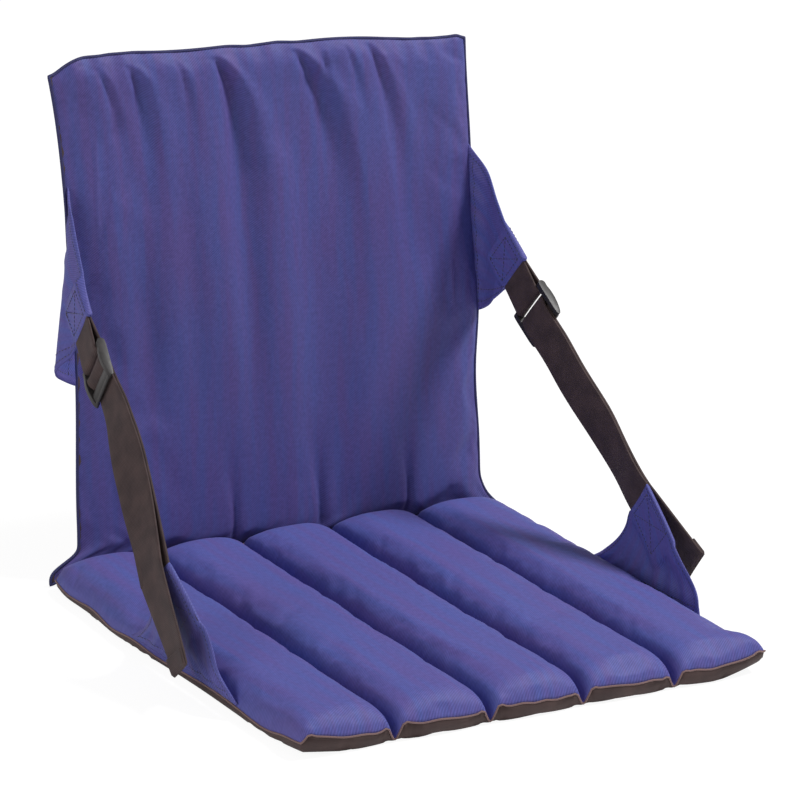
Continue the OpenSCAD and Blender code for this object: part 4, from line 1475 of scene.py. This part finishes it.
class SEAT_OT_wings(bpy.types.Operator):
    """Builds the four cloth wings with their hems and boxed crosses of stitches"""

    bl_idname = "stadium_seat.wings"
    bl_label = "Cloth wings"

    def execute(self, context):
        place = StrapPlace(context.scene.strap_sizes)
        s, level = place.sizes, strap_levels(place)
        thick = level["pitch"] / 2 + s.thick / 2 + WING_PLY + PROUD
        sewn_thick = s.thick / 2 + WING_PLY
        half = s.width / 2 + POCKET_EDGE
        pocket = (-s.run - s.pocket - POCKET_ROOM, -s.run + 0.02, half, thick, 0)
        sewn = (-0.02, s.sewn + POCKET_ROOM, half, sewn_thick, level["wing"])
        for word, side in SIDES.items():

            def lean(point):
                return wing_lean(place, point, side)

            on_seat = Wing(place, side, seat_wing_edges(place, side), self.seat_lift(side), sewn, lean)
            on_back = Wing(place, side, back_wing_edges(place, side), self.back_lift(side), pocket)
            wings = (
                ("seat_wing", on_seat, SEAT_WING_CUT, (0.05, 0.95)),
                ("back_wing", on_back, BACK_WING_CUT, (0.05, 0.13, 0.95)),
            )
            for label, wing, size, hems in wings:
                cloth = wing.mesh("%s_cloth_%s" % (label, word), size)
                dress(cloth, "blue_twill", None, "blue_twill", "%s_%s" % (label, word))
                rows = wing.hems(hems)
                for face in (-1, 1):
                    rows += self.box_rows(place, label, side, face, thick, sewn_thick)
                sewn_on = stitches("%s_stitches_%s" % (label, word), rows)
                for piece in (cloth, sewn_on):
                    self.hold_base(piece, place, label, word, side)
        return {"FINISHED"}

    def hold_base(self, piece, place, label, word, side):
        """Bakes a wing piece's placement into its mesh."""
        if label == "seat_wing":
            ends = [place.on_seat_wing(-0.21, up, 0) for up in SEAT_BLEND]
        else:
            ends = [place.on_back_wing(0.2, forward, 0) for forward in BACK_BLEND[side]]
        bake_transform(piece)

    def box_rows(self, place, label, side, face, thick, sewn_thick):
        """The boxed cross on one face of a wing, over the webbing that it holds."""
        s, level = place.sizes, strap_levels(place)
        if label == "back_wing":
            return cross_box(place, -s.run - s.pocket + POCKET_END, -s.run - BACK_BOX_END,
                             lambda x, y: face * (thick + PROUD), side, face)

        def height(x, y):
            flat = -x * math.tan(place.bend)
            middle = level["wing"] + flat + wing_lean(place, place.at(x, y, flat), side)
            return middle + face * (sewn_thick + PROUD)

        return cross_box(place, *SEAT_BOX, height, side, face)

    def seat_lift(self, side):
        """The seat wing's cloth: a shallow belly, and puckers where the cushion's seam takes it up."""

        def lift(s, t):
            up, along = math.sin(math.pi * s), math.sin(math.pi * t)
            belly = BELLY * up * along
            hollow = -HOLLOW * float(bell(t, 0.82, 0.10)) * up
            pucker = PUCKER * math.sin(t * 46 + 1.7 * side) * float(bell(s, 0.15, 0.10))
            crease = CREASE * math.sin(9 * s + 7 * t) * up * along
            swell = SWELL * float(bell(s, 0.20, 0.18) * ease((t - 0.55) / 0.45))
            return (belly + hollow) * (1 - 0.5 * s) + pucker + crease + swell

        return lift

    def back_lift(self, side):
        """The back wing's cloth, slack and bowed outward near its base, most on the left."""
        def lift(s, t):
            bow_out = SLACK[side] * math.sin(math.pi * min(1, 1.5 * s)) * (1 - t) ** 0.8 * (1 - s) ** 0.5
            pucker = BACK_PUCKER * math.sin(t * 40 + side) * float(bell(s, 0.13, 0.08))
            if side > 0:
                edge = sum(float(bump_at(s, *each)) for each in RIGHT_EDGE_BOWS)
            else:
                edge = LEFT_EDGE_BOW * math.sin(math.pi * s**0.8)
            return bow_out + pucker + edge * t**1.5

        return lift


# Fold


# Height of the web's upper layer and where that layer ends
FOLD_TOP = 0.0100
FOLD_END = 0.2136
# The web's wave, the width and depth of its reach into each of the cushion's valleys, and its step
FOLD_WAVE, FOLD_STEP = 0.0005, 0.0008
VALLEY_WIDTH, VALLEY_DEPTH = 0.007, 0.0036


class SEAT_OT_fold(bpy.types.Operator):
    """Builds the unpadded cloth that joins the seat to the back"""

    bl_idname = "stadium_seat.fold"
    bl_label = "Fold web"

    def execute(self, context):
        low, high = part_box("fold_web")
        half = CLOTH / 2
        start = Vector((low.y + half, high.z - half))
        radius = (FOLD_TOP - low.z) / 2
        turn, floor = high.y - radius, low.z + half
        ceiling = low.z + 2 * radius - half
        # Down behind the seat's seam, along the floor, round the turn and back to the back pad
        path = [start.lerp(Vector((start.x, floor)), k / 4) for k in range(4)]
        path += [Vector((start.x + 0.002, floor + half)), Vector((turn, floor))]
        path += arc(turn, floor + radius, radius - half, -60, 60, 8)
        path += [Vector((turn, ceiling)), Vector((FOLD_END, ceiling))]
        line = even([Vector((p.x, p.y, 0)) for p in path], FOLD_STEP)
        count = 120
        channels = context.scene.seat_sizes.channels
        valleys = [SEAT_W * (k / channels - 0.5) for k in range(1, channels)]
        rows = []
        for k, p in enumerate(line):
            row = []
            for i in range(count + 1):
                x = lerp(low.x, high.x, i / count)
                wave = FOLD_WAVE * math.sin(x / 0.009 + k * 0.25)
                # The web's sewn edge reaches into the cushion's valleys
                near = sum(float(bell(x, valley, VALLEY_WIDTH)) for valley in valleys)
                into = VALLEY_DEPTH * near * float(1 - ease((p.x - start.x) / 0.004))
                row.append(Vector((x, p.x - into, max(low.z, p.y + wave))))
            rows.append(row)
        length = sum((b - a).length for a, b in zip(line, line[1:]))
        web = swept("fold_web_cloth", rows, (high.x - low.x, length))
        modify(web, "SOLIDIFY", thickness=CLOTH, offset=0)
        smooth(web)
        outward(web)
        dress(web, "coated_backing", None, "coated_backing", "fold_web")
        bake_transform(web)
        return {"FINISHED"}


# Buckles and inner pieces


class SEAT_OT_buckles(bpy.types.Operator):
    """Rounds the edges of the ladder locks and finishes the rigid pieces"""

    bl_idname = "stadium_seat.buckles"
    bl_label = "Ladder locks"

    def execute(self, context):
        for word in SIDES:
            lock = self.copy_of(FRAME["nodes"]["ladder_lock_" + word], "ladder_lock_moulding_" + word)
            merge(lock)
            with editing(lock):
                bpy.ops.mesh.dissolve_limited(angle_limit=math.radians(2))
            modify(lock, "BEVEL", width=0.00045, segments=3, limit_method="ANGLE",
                   angle_limit=math.radians(28), use_clamp_overlap=True)
            bpy.ops.object.shade_smooth_by_angle(angle=math.radians(35))
            body = "back_wing_%s_body" % word
            dress(lock, "buckle_plastic", body, "buckle_plastic", "ladder_lock_" + word)
        for name, node in FRAME["nodes"].items():
            kind = "cap_plastic" if "caps" in name else "stay_rod" if "stay" in name else None
            if name in ("back_stay_left", "back_stay_caps"):
                self.shift_stay(name, node, kind)
            elif kind:
                node.data.materials.clear()
                node.data.materials.append(MATERIALS[kind])
        return {"FINISHED"}

    def shift_stay(self, name, node, kind):
        """Copies a stay or the caps and moves what lies on the left into the cloth there."""
        piece = self.copy_of(node, name + "_inside")
        merge(piece)
        co = points_of(piece)
        co[:, 0] += np.where(co[:, 0] < 0, STAY_SHIFT, 0)
        set_points(piece, co)
        bpy.ops.object.shade_smooth_by_angle(angle=math.radians(35))
        dress(piece, kind, "back", kind, name)

    def copy_of(self, node, name):
        """A free copy of a CAD node."""
        select(node)
        bpy.ops.object.duplicate()
        piece = bpy.context.object
        piece.name = piece.data.name = name
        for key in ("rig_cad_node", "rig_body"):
            if key in piece:
                del piece[key]
        piece.parent = None
        return piece


# Stage


# Share of the floor that the camera sees as white, the strength of the light from all round, and
# each lamp's place, size and watts
FLOOR_GLOW = 0.80
SOFT_LIGHT = 0.28
LAMPS = {
    "key": ((1.80, -0.62, 2.95), 0.9, 100),
    "fill": ((-3.0, -0.55, 1.20), 1.8, 26),
}
# The point that the camera looks at: how far in front of the fold line, and its height
AIM_FORWARD, AIM_HEIGHT = 0.150, 0.180
# The point that the lamps shine at, the floor's size and how far it lies under the part
LAMP_AIM = (0, 0.05, 0.15)
FLOOR_SIZE, FLOOR_DROP = 14, 0.0006
# The camera's picture in pixels, its focal length and middle in them, and its sensor in millimetres
FRAME_PX, FOCAL_PX, MIDDLE_PX = 800, 4295.6, (377.1, 401.5)
SENSOR_MM = 36


class SEAT_OT_stage(bpy.types.Operator):
    """Sets the pale floor, the soft studio light and the camera"""

    bl_idname = "stadium_seat.stage"
    bl_label = "Stage"

    def execute(self, context):
        stage = context.scene.seat_stage
        context.scene.view_settings.view_transform = "Standard"
        self.floor()
        self.world(context)
        for name, (place, size, watts) in LAMPS.items():
            self.lamp(name, place, size, watts)
        self.camera(context, stage)
        return {"FINISHED"}

    def floor(self):
        deselect()
        bpy.ops.mesh.primitive_plane_add(size=FLOOR_SIZE, location=(0, 0, -FLOOR_DROP))
        floor = bpy.context.object
        floor.name = "floor"
        pale = Finish("pale_floor", (0.90, 0.90, 0.90), 0.9)
        glow = pale.add("Emission", Color=(1, 1, 1, 1), Strength=1.15)
        paths = pale.add("LightPath")
        share = pale.add("Math", [(paths.outputs["Is Camera Ray"], 0)], operation="MULTIPLY")
        share.inputs[1].default_value = FLOOR_GLOW
        shaders = [(share.outputs[0], "Fac"), (pale.shader.outputs[0], 1), (glow.outputs[0], 2)]
        seen = pale.add("MixShader", shaders)
        pale.tree.links.new(seen.outputs[0], pale.tree.nodes["Material Output"].inputs["Surface"])
        floor.data.materials.append(pale.material)

    def world(self, context):
        world = bpy.data.worlds.new("studio")
        context.scene.world = world
        world.use_nodes = True
        nodes = Nodes(world.node_tree)
        soft = nodes.tree.nodes["Background"]
        soft.inputs["Color"].default_value = (1.0, 0.96, 0.98, 1)
        soft.inputs["Strength"].default_value = SOFT_LIGHT
        white = nodes.add("Background", Strength=1.0)
        paths = nodes.add("LightPath").outputs
        rays = [(paths["Is Camera Ray"], 0), (paths["Is Transmission Ray"], 1)]
        seen = nodes.add("Math", rays, operation="MAXIMUM")
        shaders = [(seen.outputs[0], "Fac"), (soft.outputs[0], 1), (white.outputs[0], 2)]
        mix = nodes.add("MixShader", shaders)
        nodes.tree.links.new(mix.outputs[0], nodes.tree.nodes["World Output"].inputs["Surface"])

    def lamp(self, name, place, size, watts):
        data = bpy.data.lights.new(name, "AREA")
        data.shape = "DISK"
        data.size = size
        data.energy = watts
        lamp = bpy.data.objects.new(name, data)
        bpy.context.scene.collection.objects.link(lamp)
        lamp.location = place
        aim = Vector(LAMP_AIM) - Vector(place)
        lamp.rotation_euler = aim.to_track_quat("-Z", "Y").to_euler()

    def camera(self, context, stage):
        """Places the camera as it stood for the photograph."""
        target = Vector((0, FOLD.y - AIM_FORWARD, AIM_HEIGHT))
        a, e = math.radians(stage.azimuth), math.radians(stage.elevation)
        away = Vector((math.sin(a) * math.cos(e), -math.cos(a) * math.cos(e), math.sin(e)))
        right = (-away).cross(Vector((0, 0, 1))).normalized()
        up = right.cross(-away)
        roll = math.radians(stage.roll)
        side = right * math.cos(roll) + up * math.sin(roll)
        top = up * math.cos(roll) - right * math.sin(roll)
        data = bpy.data.cameras.new("camera")
        data.sensor_width = SENSOR_MM
        data.lens = FOCAL_PX / FRAME_PX * SENSOR_MM
        data.shift_x = (FRAME_PX / 2 - MIDDLE_PX[0]) / FRAME_PX
        data.shift_y = (MIDDLE_PX[1] - FRAME_PX / 2) / FRAME_PX
        data.clip_end = 50
        camera = bpy.data.objects.new("camera", data)
        context.scene.collection.objects.link(camera)
        camera.rotation_mode = "QUATERNION"
        camera.matrix_world = Matrix.Translation(target + away * stage.distance) @ Matrix(
            (side, top, away)).transposed().to_4x4()
        context.scene.camera = camera


class SEAT_PT_panel(bpy.types.Panel):
    """Lists the pieces of the stadium seat"""

    bl_idname = "SEAT_PT_panel"
    bl_label = "Stadium Seat"
    bl_space_type = "VIEW_3D"
    bl_region_type = "UI"
    bl_category = "Stadium Seat"

    def draw(self, context):
        for operator in OPERATORS:
            self.layout.operator(operator.bl_idname)
        for name, group in GROUPS.items():
            box = self.layout.box()
            for prop in group.__annotations__:
                box.prop(getattr(context.scene, name), prop)


OPERATORS = (
    SEAT_OT_stage, SEAT_OT_cushion, SEAT_OT_back, SEAT_OT_wings, SEAT_OT_straps, SEAT_OT_fold,
    SEAT_OT_buckles,
)


def register():
    for cls in (*GROUPS.values(), *OPERATORS, SEAT_PT_panel):
        bpy.utils.register_class(cls)
    for name, group in GROUPS.items():
        setattr(bpy.types.Scene, name, PointerProperty(type=group))


def unregister():
    for name in GROUPS:
        delattr(bpy.types.Scene, name)
    for cls in reversed((*GROUPS.values(), *OPERATORS, SEAT_PT_panel)):
        bpy.utils.unregister_class(cls)


def main():
    register()
    make_materials()
    for operator in OPERATORS:
        group, name = operator.bl_idname.split(".")
        getattr(getattr(bpy.ops, group), name)()


if __name__ == "__main__":
    main()
